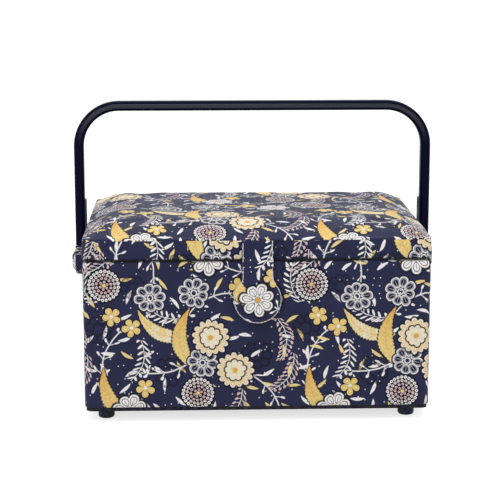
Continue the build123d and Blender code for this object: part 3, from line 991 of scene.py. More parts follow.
def make_weave_group():
    """Plain weave: threads that go over and under each other, with uneven yarn, and painted shade between
    them.
    """
    group, given, made = new_group(
        "plain_weave", {"Cloth": None, "Spacing": 0.0005, "Slub": 0.3}, ["Height", "Shade"]
    )
    phase = vectors(group, "SCALE", given["Cloth"], ratio(group, math.pi, given["Spacing"]))
    x, y, _ = parts_of(group, phase)
    warp, weft = sums(group, "SINE", x), sums(group, "SINE", y)
    over = ranged(group, times(group, warp, weft), -0.2, 0.2)
    height = between(group, over, sums(group, "ABSOLUTE", warp), sums(group, "ABSOLUTE", weft))
    slub = grain(group, vectors(group, "MULTIPLY", given["Cloth"], (1.0, 12.0, 1.0)), 420.0, 2.0, "2D")[0]
    height = times(group, height, sums(group, "MULTIPLY_ADD", times(group, slub, given["Slub"]), 1.0, 0.75))
    feed(group, made["Height"], height)
    # Shade is painted shade: darker in the low valleys between the threads and slightly lighter on their
    # crowns
    feed(group, made["Shade"], ranged(group, height, 0.0, 0.9, 0.88, 1.05))


def make_wear_group():
    """Rubbed edges: a mask that is 1 on outer edges, broken up by fine grain."""
    group, given, made = new_group("rubbed_edges", {"Place": None, "Reach": 0.54}, ["Worn"])
    bend = group.nodes.new("ShaderNodeNewGeometry").outputs["Pointiness"]
    edge = ranged(group, bend, 0.515, given["Reach"])
    broken = ranged(group, grain(group, given["Place"], 260.0, 3.0)[0], 0.35, 0.7)
    feed(group, made["Worn"], times(group, edge, broken))


def make_handling_group():
    """Fine scratches and fingermarks: an uneven shine and a slight height."""
    group, given, made = new_group(
        "handling_marks",
        {"Place": None, "Smooth": 0.3, "Rough": 0.45},
        ["Roughness", "Height", "Scratch"],
    )
    smear = grain(group, given["Place"], 24.0, 3.0)[0]
    fine = grain(group, given["Place"], 900.0, 2.0)[0]
    drawn = grain(group, vectors(group, "MULTIPLY", given["Place"], (9.0, 9.0, 0.7)), 150.0, 4.0)[0]
    scratch = ranged(group, drawn, 0.66, 0.74)
    share = sums(group, "ADD", times(group, smear, 0.8), times(group, scratch, 0.35), clamp=True)
    feed(group, made["Roughness"], between(group, share, given["Smooth"], given["Rough"]))
    feed(group, made["Height"], minus(group, fine, times(group, scratch, 0.5)))
    feed(group, made["Scratch"], scratch)


# ---- Finishes --------------------------------------------------------------------

FINISHES = {}


def new_finish(name, **sockets):
    """A new finish under its name, the constant sockets set on its shader: (tree, shader)."""
    material = bpy.data.materials.new(name + "_finish")
    FINISHES[name] = material
    material.use_nodes = True
    tree = material.node_tree
    shader = tree.nodes["Principled BSDF"]
    for label, value in sockets.items():
        feed(tree, shader.inputs[label.replace("_", " ")], value)
    return tree, shader


def raised(tree, shader, height, distance, strength=1.0):
    node = tree.nodes.new("ShaderNodeBump")
    node.inputs["Strength"].default_value = strength
    node.inputs["Distance"].default_value = distance
    feed(tree, node.inputs["Height"], height)
    feed(tree, shader.inputs["Normal"], node.outputs[0])


def cloth_place(tree):
    node = tree.nodes.new("ShaderNodeUVMap")
    node.uv_map = "cloth"
    return node.outputs[0]


def solid_place(tree):
    return tree.nodes.new("ShaderNodeTexCoord").outputs["Object"]


def shaded(tree, colour, shade):
    """A colour made lighter or darker by a shade that changes over the surface."""
    return vectors(tree, "SCALE", colour, shade)


def make_printed_cotton():
    tree, shader = new_finish(
        "printed_cotton", Sheen_Weight=0.22, Sheen_Roughness=0.4, Sheen_Tint=(0.80, 0.82, 0.95),
        Specular_IOR_Level=0.18,
    )
    cloth = cloth_place(tree)
    pattern = use(tree, "flower_print", Cloth=cloth)
    weave = use(tree, "plain_weave", Cloth=cloth, Spacing=settings().cloth.thread_spacing)
    # Painted shade: near the seams between lid and body the print is darkened to nearly black, because the
    # gap there is in shade. The weave's painted shade also darkens it between the threads.
    painted_seam_shade = tree.nodes.new("ShaderNodeAttribute")
    painted_seam_shade.attribute_name = "painted_seam_shade"
    light = times(tree, weave["Shade"], ranged(tree, painted_seam_shade.outputs["Fac"], 0.0, 1.0, 1.0, 0.05))
    feed(tree, shader.inputs["Base Color"], shaded(tree, pattern["Colour"], light))
    feed(tree, shader.inputs["Roughness"], between(tree, pattern["Printed"], 0.86, 0.72))
    pucker = grain(tree, solid_place(tree), 38.0, 2.0)[0]
    height = sums(tree, "ADD", times(tree, weave["Height"], 0.12), times(tree, pucker, 0.9))
    raised(tree, shader, height, 0.0011, 0.75)


def make_plain_cloth(name, colour, spacing, slub, sheen, vary):
    """A plain woven cloth in one dye, slightly uneven."""
    tree, shader = new_finish(
        name, Sheen_Weight=sheen, Sheen_Roughness=0.45, Specular_IOR_Level=0.25
    )
    cloth = cloth_place(tree)
    weave = use(tree, "plain_weave", Cloth=cloth, Spacing=spacing, Slub=slub)
    uneven = grain(tree, solid_place(tree), 30.0, 3.0)[0]
    darker = tuple(c * (1 - 2 * vary) for c in colour)
    dyed = mixed(tree, uneven, darker, tuple(min(1.0, c * (1 + vary)) for c in colour))
    # The weave's painted shade darkens the dye between the threads
    feed(tree, shader.inputs["Base Color"], shaded(tree, dyed, weave["Shade"]))
    feed(tree, shader.inputs["Roughness"], between(tree, uneven, 0.78, 0.92))
    height = sums(tree, "ADD", times(tree, weave["Height"], 0.3), times(tree, uneven, 0.8))
    raised(tree, shader, height, 0.0006, 0.8)


def make_velvet():
    colour = tuple(settings().cloth.velvet)
    tree, shader = new_finish(
        "cushion_velvet", Sheen_Weight=0.9, Sheen_Roughness=0.3, Specular_IOR_Level=0.15
    )
    place = solid_place(tree)
    pile = grain(tree, place, 1400.0, 2.0)[0]
    brushed = ranged(tree, grain(tree, place, 55.0, 3.0)[0], 0.35, 0.65)
    dyed = mixed(tree, brushed, tuple(c * 0.8 for c in colour), colour)
    feed(tree, shader.inputs["Base Color"], shaded(tree, dyed, ranged(tree, pile, 0.3, 0.7, 0.8, 1.1)))
    feed(tree, shader.inputs["Roughness"], ranged(tree, pile, 0.3, 0.7, 0.85, 1.0))
    raised(tree, shader, sums(tree, "ADD", pile, brushed), 0.0004, 0.7)


def make_thread(name, colour):
    """Twisted sewing thread, with painted shade in the grooves of its twist."""
    tree, shader = new_finish(name, Sheen_Weight=0.2, Specular_IOR_Level=0.35)
    place = solid_place(tree)
    x, y, z = parts_of(tree, place)
    slant = sums(tree, "ADD", sums(tree, "ADD", x, y), z)
    twist = sums(tree, "SINE", times(tree, slant, 9000.0))
    # Painted shade: the colour is darker in the grooves of the twist
    light = ranged(tree, twist, -1.0, 1.0, 0.78, 1.0)
    feed(tree, shader.inputs["Base Color"], shaded(tree, tuple(colour), light))
    feed(tree, shader.inputs["Roughness"], ranged(tree, grain(tree, place, 500.0)[0], 0.3, 0.7, 0.5, 0.7))
    raised(tree, shader, twist, 0.00008)


def grip_polish(tree, place, low, high, most=0.75):
    """How far hands have polished the flat front and back of a bar, fading in between two heights."""
    faces = tree.nodes.new("ShaderNodeTexCoord").outputs["Normal"]
    flat = ranged(tree, sums(tree, "ABSOLUTE", parts_of(tree, faces)["Y"]), 0.95, 1.0)
    return times(tree, flat, ranged(tree, parts_of(tree, place)["Z"], low, high, 0.0, most))


def make_moulded(name, colour, smooth, rough, worn, shine=0.5, distance=0.00006, glow=0.0, grip=None):
    """Moulded plastic with a fine skin, handling marks, rubbed edges and, where it is held, polish."""
    tree, shader = new_finish(
        name, Specular_IOR_Level=shine, Subsurface_Weight=glow, Subsurface_Scale=0.002, Coat_Roughness=0.15
    )
    place = solid_place(tree)
    marks = use(tree, "handling_marks", Place=place, Smooth=smooth, Rough=rough)
    edges = use(tree, "rubbed_edges", Place=place)
    tone = mixed(tree, grain(tree, place, 9.0, 2.0)[0], tuple(c * 0.86 for c in colour), tuple(colour))
    tone = mixed(tree, times(tree, edges["Worn"], 0.55), tone, worn)
    tone = mixed(tree, times(tree, marks["Scratch"], 0.16), tone, worn)
    feed(tree, shader.inputs["Base Color"], tone)
    feed(tree, shader.inputs["Roughness"], marks["Roughness"])
    if grip:
        feed(tree, shader.inputs["Coat Weight"], grip_polish(tree, place, *grip))
    raised(tree, shader, marks["Height"], distance)


def make_metal(name, colour, smooth, rough, dull, plated):
    """Plated metal with fine brushing, handling marks and dull spots."""
    tree, shader = new_finish(name, Metallic=plated)
    place = solid_place(tree)
    marks = use(tree, "handling_marks", Place=place, Smooth=smooth, Rough=rough)
    edges = use(tree, "rubbed_edges", Place=place)
    spots = ranged(tree, grain(tree, place, 130.0, 4.0)[0], 0.55, 0.75)
    tone = mixed(tree, times(tree, spots, 0.5), tuple(colour), dull)
    tone = mixed(tree, times(tree, edges["Worn"], 0.4), tone, tuple(min(1.0, c * 1.15) for c in colour))
    feed(tree, shader.inputs["Base Color"], tone)
    feed(tree, shader.inputs["Roughness"], marks["Roughness"])
    raised(tree, shader, marks["Height"], 0.00004)


def make_board(name, colour, fibre_scale, dark):
    """Pressed board or paper with its loose fibres."""
    tree, shader = new_finish(name, Specular_IOR_Level=0.2)
    place = solid_place(tree)
    fibres = grain(tree, vectors(tree, "MULTIPLY", place, (1.0, 3.0, 3.0)), fibre_scale, 5.0)[0]
    cloud = grain(tree, place, 18.0, 3.0)[0]
    tone = mixed(tree, ranged(tree, fibres, 0.35, 0.65), dark, tuple(colour))
    edges = use(tree, "rubbed_edges", Place=place)
    tone = mixed(tree, times(tree, edges["Worn"], 0.4), tone, tuple(min(1.0, c * 1.5 + 0.05) for c in colour))
    feed(tree, shader.inputs["Base Color"], shaded(tree, tone, ranged(tree, cloud, 0.3, 0.7, 0.9, 1.05)))
    feed(tree, shader.inputs["Roughness"], ranged(tree, fibres, 0.3, 0.7, 0.75, 0.95))
    raised(tree, shader, fibres, 0.00015)


def finish(name):
    if name not in FINISHES:
        raise RuntimeError(f"the finish {name} hasn't been made")
    return FINISHES[name]


# ---- Pieces: body and lid ----------------------------------------------------------

def runs_inward(edge):
    """True for a short edge across the turned-in cloth, which points to the middle of the box."""
    return all(abs(face.normal.z) > 0.9 for face in edge.link_faces)


def cloth_band(name, low, high, turn_top, turn_bottom):
    """Cloth once round a box between two levels, turned in over its upper and lower edges."""
    band = start_block(name, low, high)
    open_mesh(band)
    choose(band, "FACE", lambda face: abs(face.normal.z) > 0.9)
    bpy.ops.mesh.delete(type="ONLY_FACE")
    choose(band, "EDGE", lambda edge: runs_along(edge, 2))
    round_edges(CORNER, CORNER_STEPS)
    for level, edge_radius in ((high.z, turn_top), (low.z, turn_bottom)):
        choose(band, "EDGE", lambda edge: lies_at(edge, 2, level))
        draw_out(0.0)
        inward = (MOUTH_X / high.x, MOUTH_Y / high.y, 1.0)
        bpy.ops.transform.resize(value=inward, center_override=(0.0, 0.0, level))
        choose(band, "EDGE", lambda edge: (
            lies_at(edge, 2, level) and len(edge.link_faces) == 2 and not runs_inward(edge)))
        round_edges(edge_radius)
    split_evenly(band, WALL_GRID)
    close_mesh()
    return band


class SEWINGBOX_OT_body_cloth(bpy.types.Operator):
    """Wraps the printed cotton round the walls of the box"""

    bl_idname = "sewingbox.body_cloth"
    bl_label = "Body cloth"

    def execute(self, context):
        cloth = settings().cloth
        band = cloth_band("body_cloth", BODY_LOW, BODY_HIGH, turn_top=0.0024, turn_bottom=0.0012)
        open_mesh(band)
        choose(band, "EDGE", lambda edge: lies_at(edge, 2, BODY_HIGH.z) and len(edge.link_faces) == 1)
        draw_out(-COVER)
        close_mesh()

        def on_walls(point):
            return smooth_step(point.z, BODY_LOW.z, BODY_LOW.z + 0.01) * smooth_step(
                max(abs(point.x) - MOUTH_X, abs(point.y) - MOUTH_Y), 0.003, 0.0056
            )

        def near_rim(point):
            return on_walls(point) * smooth_step(point.z, BODY_HIGH.z - 0.035, BODY_HIGH.z - 0.006)

        ripple(band, depth=cloth.ripple * 1.5, pitch=0.045, seed=3.1, stretch=(1.0, 1.0, 1.6), share=on_walls)
        ripple(band, depth=cloth.ripple, pitch=0.014, seed=8.7, stretch=(1.0, 1.0, 3.0), share=near_rim)
        thicken(band, cloth.thickness)
        # Painted shade along the rim, where the gap under the lid is in shade
        paint_seam_shade(band, BODY_HIGH.x, BODY_HIGH.y,
                   lambda level: smooth_step(level, BODY_HIGH.z - 0.0022, BODY_HIGH.z - 0.0005))
        lay_cloth(band, cloth_around(BODY_HIGH.x, BODY_HIGH.y, CORNER, (0.012, 0.004)))
        soft_look(band)
        settle(band, "printed_cotton", "box")
        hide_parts("body_cover")
        return {"FINISHED"}


class SEWINGBOX_OT_lid_cloth(bpy.types.Operator):
    """Makes the lid's cloth band and its padded top with the seam between them"""

    bl_idname = "sewingbox.lid_cloth"
    bl_label = "Lid cloth"

    def execute(self, context):
        cloth, padding = settings().cloth, settings().padding
        low, high = LID_LOW.copy(), Vector((LID_HIGH.x, LID_HIGH.y, CREASE))
        band = cloth_band("lid_band_cloth", low, high, turn_top=padding.seam_pinch, turn_bottom=0.0022)

        def on_walls(point):
            lower = smooth_step(point.z, low.z + 0.001, low.z + 0.006)
            return lower * smooth_step(high.z - point.z, 0.0, 0.004)

        ripple(band, depth=cloth.ripple * 1.6, pitch=0.02, seed=12.3, share=on_walls)
        for point in band.data.vertices:
            corner = smooth_step(abs(point.co.x), BODY_HIGH.x - 0.02, BODY_HIGH.x) * smooth_step(
                abs(point.co.y), BODY_HIGH.y - 0.02, BODY_HIGH.y
            )
            fold = corner * math.exp(-(((point.co.z - low.z - 0.006) / 0.005) ** 2))
            point.co.x += math.copysign(0.0011 * fold, point.co.x)
            point.co.y += math.copysign(0.0005 * fold, point.co.y)
        thicken(band, cloth.thickness)
        # Painted shade along the lower edge, where the gap above the body is in shade
        paint_seam_shade(band, LID_HIGH.x, LID_HIGH.y,
                   lambda level: smooth_step(low.z + 0.002 - level, 0.0, 0.0015))
        lay_cloth(band, cloth_around(LID_HIGH.x, LID_HIGH.y, CORNER, (0.071, 0.049)))
        soft_look(band)
        settle(band, "printed_cotton", "lid")
        self.make_pad(padding)
        return {"FINISHED"}

    def make_pad(self, padding):
        half_x, half_y = LID_HIGH.x, LID_HIGH.y
        pad = start_block("lid_pad", (-half_x, -half_y, CREASE - 0.0002), (half_x, half_y, CREASE + PAD_EDGE))
        open_mesh(pad)
        choose(pad, "EDGE", lambda edge: runs_along(edge, 2))
        round_edges(CORNER, CORNER_STEPS)
        choose(pad, "EDGE", lambda edge: lies_at(edge, 2, CREASE + PAD_EDGE))
        round_edges(0.0011)
        split_evenly(pad, padding.lid_mesh)
        close_mesh()

        def fall(inset, reach):
            share = min(1.0, max(0.0, inset / reach))
            return (1 - (1 - share) ** PAD_ROUNDNESS) ** (1 / PAD_ROUNDNESS)

        for point in pad.data.vertices:
            if point.co.z > CREASE:
                to_ends = fall(half_x - abs(point.co.x), padding.lid_end_fall)
                to_front = fall(half_y - abs(point.co.y), padding.lid_front_fall)
                point.co.z += padding.lid_fullness * to_ends * to_front
        pad.data.update()
        swell(pad, pressure=4.0, cap=padding.lid_swell, is_held=lambda place: place.z < CREASE + 0.0015)
        refine(pad)

        def above_seam(place):
            return smooth_step(place.z, CREASE + 0.0005, CREASE + 0.004)

        def from_above(point, _normal, _middle):
            return point.x + 0.03 + half_x, (point.y + half_y) * 1.03 + 0.02

        ripple(pad, depth=0.0012, pitch=0.085, seed=21.0, share=above_seam)
        ripple(pad, depth=0.00028, pitch=0.018, seed=4.4, share=above_seam)
        lay_cloth(pad, from_above)
        soft_look(pad, 60)
        settle(pad, "printed_cotton", "lid")
        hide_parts("lid_cover", "lid_foam_pad")


# ---- Pieces: closing tab --------------------------------------------------------------

TAB_ROOT_LOW, TAB_ROOT_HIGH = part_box("tab_root")
TAB_LOW, TAB_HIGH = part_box("tab_flap")
TAB_NECK = (TAB_ROOT_HIGH.x - TAB_ROOT_LOW.x) / 2
TAB_BULB = (TAB_HIGH.x - TAB_LOW.x) / 2
TAB_BULB_Z = TAB_LOW.z + TAB_BULB
TAB_FILLET = 0.011
TAB_FILLET_X = TAB_NECK + TAB_FILLET
TAB_FILLET_Z = TAB_BULB_Z + math.sqrt((TAB_BULB + TAB_FILLET) ** 2 - TAB_FILLET_X ** 2)
TAB_OFFSET = TAB_ROOT_LOW.y - TAB_LOW.y


def tab_edge_distance(x, z):
    """How far inside the tab's edge a point of its face is."""
    x = abs(x)
    if z > TAB_FILLET_Z:
        return TAB_NECK - x
    to_x, to_z = -TAB_FILLET_X, TAB_BULB_Z - TAB_FILLET_Z
    if to_x * (z - TAB_FILLET_Z) - to_z * (x - TAB_FILLET_X) < 0:
        return math.hypot(x - TAB_FILLET_X, z - TAB_FILLET_Z) - TAB_FILLET
    return TAB_BULB - math.hypot(x, z - TAB_BULB_Z)


def tab_line(inset, top):
    """Points (x, z) along a line inside the tab's edge, from its top left round the bulb to its top right."""
    lean = math.atan2(TAB_FILLET_X, TAB_FILLET_Z - TAB_BULB_Z)
    radius, curve = TAB_BULB - inset, TAB_FILLET + inset
    right = [(TAB_NECK - inset, top), (TAB_NECK - inset, (top + TAB_FILLET_Z) / 2)]
    for step in range(9):
        angle = (math.pi / 2 - lean) * step / 8
        right.append((TAB_FILLET_X - curve * math.cos(angle), TAB_FILLET_Z - curve * math.sin(angle)))
    for step in range(1, 41):
        angle = lean + (math.pi - lean) * step / 40
        right.append((radius * math.sin(angle), TAB_BULB_Z + radius * math.cos(angle)))
    return [(-x, z) for x, z in right] + [(x, z) for x, z in reversed(right[:-1])]


def tab_set_back(z):
    """How far the tab's root lies behind its flap at a level."""
    return TAB_OFFSET * smooth_step(z, TAB_HIGH.z - 0.004, TAB_ROOT_LOW.z + 0.003)


class SEWINGBOX_OT_closing_tab(bpy.types.Operator):
    """Makes the padded tab that closes over the front, with its edge stitching"""

    bl_idname = "sewingbox.closing_tab"
    bl_label = "Closing tab"

    def execute(self, context):
        padding = settings().padding
        tab = start_from_node("closing_tab", "tab_flap")
        open_mesh(tab)
        choose(tab, "FACE", lambda face: (
            face.normal.z > 0.9 and face.calc_center_median().z > TAB_HIGH.z - 1e-5))
        draw_out(CREASE + 0.0006 - TAB_HIGH.z)
        close_mesh()
        make_even(tab, padding.tab_mesh, rounds=6)
        front, back = TAB_LOW.y, TAB_HIGH.y
        for point in tab.data.vertices:
            inset = tab_edge_distance(point.co.x, point.co.z)
            outer = smooth_step(-point.co.y, -(front * 0.35 + back * 0.65), -front)
            crown = padding.tab_crown * smooth_step(inset, padding.stitch_inset, 0.012)
            groove = 0.00045 * math.exp(-(((inset - padding.stitch_inset) / 0.0009) ** 2))
            point.co.y -= outer * (crown - groove)
            point.co.y += tab_set_back(point.co.z)
        tab.data.update()
        refine(tab)
        ripple(tab, depth=0.00035, pitch=0.012, seed=31.0)
        lay_cloth(tab, lambda point, _normal, _middle: (point.x + 0.1565, point.z + 0.0417))
        soft_look(tab, 60)
        settle(tab, "printed_cotton", None)
        level = (TAB_HIGH.z + TAB_ROOT_LOW.z) / 2
        blend_from, blend_to = (0.0, TAB_HIGH.y, level + TAB_BEND), (0.0, TAB_HIGH.y, level - TAB_BEND)
        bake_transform(tab)
        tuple(blend_from)
        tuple(blend_to)
        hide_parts("tab_root", "tab_flap")

        line = [(x, front + 0.0004 + tab_set_back(z), z)
                for x, z in tab_line(padding.stitch_inset, CREASE - 0.0015)]
        seam = stitch_row("tab_stitching", [line], lambda _place: (0.0, -1.0, 0.0))
        settle(seam, "white_thread", None, slot="printed_cotton")
        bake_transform(seam)
        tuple(blend_from)
        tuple(blend_to)
        return {"FINISHED"}


# ---- Pieces: handle ends ----------------------------------------------------------------

class SEWINGBOX_OT_handle_ends(bpy.types.Operator):
    """Covers the foot of each handle leg with a padded cloth cap and its stitched collar"""

    bl_idname = "sewingbox.handle_ends"
    bl_label = "Handle ends"

    def execute(self, context):
        for side, sign in (("left", -1.0), ("right", 1.0)):
            low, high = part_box(f"{side}_handle_end_cover")
            radius = (high.z - low.z) / 2
            clear_selection()
            bpy.ops.mesh.primitive_cylinder_add(
                vertices=64, radius=radius, depth=high.x - low.x, rotation=(0.0, math.pi / 2, 0.0),
                location=((low.x + high.x) / 2, 0.0, PIVOT_Z),
            )
            bpy.ops.object.transform_apply(location=True, rotation=True, scale=True)
            cap = named(f"{side}_handle_cap")
            open_mesh(cap)
            choose(cap, "EDGE", lambda edge: lies_at(edge, 0, low.x) or lies_at(edge, 0, high.x))
            round_edges(0.0022)
            close_mesh()
            collar = start_block(f"{side}_handle_collar", (low.x + 0.0004, -COLLAR_HALF_DEPTH, PIVOT_Z),
                                 (high.x - 0.0002, COLLAR_HALF_DEPTH, high.z + 0.0006))
            open_mesh(collar)
            choose(collar, "EDGE", lambda edge: runs_along(edge, 2))
            round_edges(0.0018)
            close_mesh()
            take(cap, collar)
            bpy.ops.object.join()
            make_even(cap, CAP_GRID, rounds=4)
            middle_x = (low.x + high.x) / 2
            pin_low, pin_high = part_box(f"{side}_pivot_pin")
            rivet_cover = max(abs(pin_low.x), abs(pin_high.x)) + 0.0006 - max(abs(low.x), abs(high.x))
            for point in cap.data.vertices:
                out = math.hypot(point.co.y, point.co.z - PIVOT_Z)
                if (point.co.x - middle_x) * sign > 0:
                    point.co.x += sign * (rivet_cover * (1 - smooth_step(out, 0.006, 0.012)))
            cap.data.update()
            ripple(cap, depth=0.0005, pitch=0.006, seed=40.0 + sign,
                   share=lambda place: 1.0 if (place.x - middle_x) * sign > -0.003 else 0.25)
            lay_cloth(cap, cloth_by_side((0.195 - middle_x, 0.034)))
            soft_look(cap, 60)
            settle(cap, "printed_cotton", "handle")
            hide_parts(f"{side}_handle_end_cover")

            rows = []
            for level in (high.z - 0.0012, high.z - 0.0034, high.z - 0.0066):
                depth = max(0.0077, math.sqrt(radius ** 2 - (level - PIVOT_Z) ** 2))
                for y in (-depth, depth):
                    rows.append([(low.x + 0.0012, y, level), (high.x - 0.0008, y, level)])
            seam = stitch_row(f"{side}_handle_stitching", rows, lambda place: (0.0, place.y, 0.0),
                              thread=0.00034, pitch=0.0032)
            settle(seam, "white_thread", "handle", slot="printed_cotton")
        return {"FINISHED"}


# ---- Pieces: hinge cloth ------------------------------------------------------------------

def hinge_band(name, low, high, fold):
    """One stretch of the hinge cloth, with close rows of faces where it folds."""
    band = start_block(name, low, high)
    open_mesh(band)
    choose(band, "EDGE", lambda edge: runs_along(edge, 0))
    bpy.ops.mesh.subdivide(number_cuts=59)
    for step in range(-4, 5):
        level = fold + step * 0.0005
        if low.z + 0.0002 < level < high.z - 0.0002:
            bpy.ops.mesh.select_all(action="SELECT")
            bpy.ops.mesh.bisect(plane_co=(0.0, 0.0, level), plane_no=(0.0, 0.0, 1.0), use_fill=False)
    choose(band, "EDGE", lambda edge: runs_along(edge, 2) and edge.calc_length() > 0.006)
    bpy.ops.mesh.subdivide(number_cuts=4)
    close_mesh()
    return band


class SEWINGBOX_OT_hinge_cloth(bpy.types.Operator):
    """Makes the cloth hinge across the back, with close rows of faces at its two folds"""

    bl_idname = "sewingbox.hinge_cloth"
    bl_label = "Hinge cloth"

    def execute(self, context):
        body_low, body_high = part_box("body_hinge_tape")
        strip_low, strip_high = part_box("hinge_strip")
        lid_low, lid_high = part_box("lid_hinge_tape")
        middle = (strip_low.z + strip_high.z) / 2
        lower_fold = (body_high.z + strip_low.z) / 2
        upper_fold = (strip_high.z + lid_low.z) / 2
        inner = body_low.y + 0.0001
        lower_low = Vector((body_low.x, inner, body_low.z))
        lower_high = Vector((body_high.x, body_high.y, middle))
        upper_low = Vector((lid_low.x, inner, middle))
        for name, low, high, fold, bodies, nodes in (
            ("hinge_cloth_lower", lower_low, lower_high, lower_fold, ("box", "hinge_cloth_strip"),
             ("body_hinge_tape", "hinge_strip")),
            ("hinge_cloth_upper", upper_low, lid_high, upper_fold, ("hinge_cloth_strip", "lid"),
             ("lid_hinge_tape",)),
        ):
            band = hinge_band(name, low, high, fold)

            def on_back(place):
                return smooth_step(place.y, inner, high.y) * smooth_step(abs(place.z - middle), 0.003, 0.008)

            ripple(band, depth=0.00012, pitch=0.02, seed=51.0, share=on_back)
            lay_cloth(band, cloth_by_side())
            soft_look(band)
            settle(band, "hinge_cloth", None)
            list(bodies)
            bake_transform(band)
            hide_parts(*nodes)
        for name, body, level in (
            ("hinge_stitching_lower", "box", body_low.z + HINGE_STITCH_INSET),
            ("hinge_stitching_upper", "lid", lid_high.z - HINGE_STITCH_INSET),
        ):
            row = [(body_low.x + 0.003, body_high.y, level), (body_high.x - 0.003, body_high.y, level)]
            seam = stitch_row(name, [row], lambda _place: (0.0, 1.0, 0.0), thread=0.0003, pitch=0.0042)
            settle(seam, "navy_thread", body, slot="hinge_cloth")
        return {"FINISHED"}


# ---- Pieces: linings -------------------------------------------------------------------------

def lining_box(name, low, high, open_top, wall_round, floor_round):
    """A lining fitted inside a box: four walls and a floor or ceiling, its corners soft."""
    lining = start_block(name, low, high)
    low, high = Vector(low), Vector(high)
    open_level, closed_level = (high.z, low.z) if open_top else (low.z, high.z)
    open_mesh(lining)
    choose(lining, "FACE", lambda face: abs(face.calc_center_median().z - open_level) < 1e-5)
    bpy.ops.mesh.delete(type="ONLY_FACE")
    bpy.ops.mesh.select_all(action="SELECT")
    bpy.ops.mesh.flip_normals()
    choose(lining, "EDGE", lambda edge: runs_along(edge, 2))
    round_edges(wall_round)
    choose(lining, "EDGE", lambda edge: lies_at(edge, 2, closed_level))
    round_edges(floor_round)
    split_evenly(lining, LINING_GRID)
    close_mesh()
    return lining


class SEWINGBOX_OT_linings(bpy.types.Operator):
    """Lines the inside of the box and of the lid, and covers the two tray ledges"""

    bl_idname = "sewingbox.linings"
    bl_label = "Linings"

    def execute(self, context):
        floor_top = FLOOR_BOARD_TOP + LINING
        body = lining_box(
            "body_lining_cloth", (-MOUTH_X, -MOUTH_Y, floor_top), (MOUTH_X, MOUTH_Y, BODY_LINING_HIGH.z),
            open_top=True, wall_round=0.0022, floor_round=0.0018,
        )
        ceiling = LID_LINING_HIGH.z - LINING
        lid = lining_box(
            "lid_lining_cloth", (-MOUTH_X, -MOUTH_Y, LID_LINING_LOW.z), (MOUTH_X, MOUTH_Y, ceiling),
            open_top=False, wall_round=0.0022, floor_round=0.0016,
        )
        for lining, body_name, node, height in (
            (body, "box", "body_lining", BODY_LINING_HIGH.z - floor_top),
            (lid, "lid", "lid_lining", ceiling - LID_LINING_LOW.z),
        ):
            ripple(lining, depth=0.00016, pitch=0.03, seed=61.0)
            thicken(lining, 0.0006)
            lay_cloth(lining, cloth_by_side())
            soft_look(lining)
            settle(lining, "lining_cotton", body_name)
            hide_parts(node)
        for side in ("left", "right"):
            low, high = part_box(f"{side}_tray_ledge")
            ledge = start_block(f"{side}_ledge_cloth", low, high)
            open_mesh(ledge)
            choose(ledge, "EDGE", lambda edge: True)
            round_edges(0.0009)
            split_evenly(ledge, LINING_GRID)
            close_mesh()
            ripple(ledge, depth=0.0001, pitch=0.02, seed=66.0)
            lay_cloth(ledge, cloth_by_side((0.01, 0.01)))
            soft_look(ledge)
            settle(ledge, "lining_cotton", "box")
            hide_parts(f"{side}_tray_ledge")
        return {"FINISHED"}


# ---- Pieces: fittings inside the lid ------------------------------------------------------------

class SEWINGBOX_OT_lid_pocket(bpy.types.Operator):
    """Makes the gathered pocket inside the lid with its ruched elastic edge"""

    bl_idname = "sewingbox.lid_pocket"
    bl_label = "Lid pocket"

    def execute(self, context):
        low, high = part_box("lid_pocket")
        ceiling = high.z
        clear_selection()
        bpy.ops.mesh.primitive_grid_add(x_subdivisions=190, y_subdivisions=38, size=1.0)
        pocket = named("lid_pocket_cloth")
        open_mesh(pocket)
        bpy.ops.mesh.select_all(action="SELECT")
        bpy.ops.mesh.flip_normals()
        close_mesh()
        depth = high.z - low.z
        for point in pocket.data.vertices:
            across, up = point.co.x + 0.5, point.co.y + 0.5
            x, y = low.x + across * (high.x - low.x), low.y + up * (high.y - low.y)
            hem = smooth_step(min(across, 1 - across), 0.0, 0.05) * smooth_step(1 - up, 0.0, 0.12)
            wander = noise.noise(Vector((x * 30, y * 8, 2.0))) * 1.6
            uneven = 2.0 * noise.noise(Vector((x * 90, 1.0, 4.0)))
            gather = math.sin(2 * math.pi * x / GATHER_PITCH + wander * 2.2 + uneven)
            belly = 0.0006 + (depth - 0.0026) * hem * (0.75 + 0.25 * math.sin(math.pi * up))
            amount = 0.0013 * (1 - 0.5 * up) * (0.3 + 0.7 * hem)
            point.co = Vector((x, y, ceiling - belly - 0.0004 - amount * (0.5 + 0.5 * gather)))
        pocket.data.update()
        thicken(pocket, 0.0004)
        lay_cloth(pocket, cloth_by_side((0.02, 0.0)))
        soft_look(pocket, 70)
        settle(pocket, "lining_cotton", "lid")
        hem_row = [(x, high.y - 0.002, ceiling - 0.0017) for x in (low.x + 0.003, high.x - 0.003)]
        seam = stitch_row("pocket_stitching", [hem_row], lambda _place: (0.0, 0.0, -1.0),
                          thread=0.0003, pitch=0.0036)
        settle(seam, "cream_thread", "lid", slot="lining_cotton")
        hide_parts("lid_pocket")

        low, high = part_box("pocket_elastic")
        band = start_block("pocket_elastic_band", low, Vector((high.x, high.y, high.z - 0.0003)))
        open_mesh(band)
        choose(band, "EDGE", lambda edge: runs_along(edge, 0))
        round_edges(0.0016, 4)
        choose(band, "EDGE", lambda edge: runs_along(edge, 0))
        bpy.ops.mesh.subdivide(number_cuts=189)
        close_mesh()
        for point in band.data.vertices:
            uneven = 2.5 * noise.noise(point.co * 120)
            ruche = 0.5 + 0.5 * math.sin(2 * math.pi * point.co.x / RUCHE_PITCH + uneven)
            lower = smooth_step(high.z - point.co.z, 0.0006, 0.003)
            point.co += Vector((0.0, 0.0, 1.0)) * 0.0009 * ruche * lower
        band.data.update()
        lay_cloth(band, cloth_by_side())
        soft_look(band, 70)
        settle(band, "elastic", "lid")
        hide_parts("pocket_elastic")
        return {"FINISHED"}


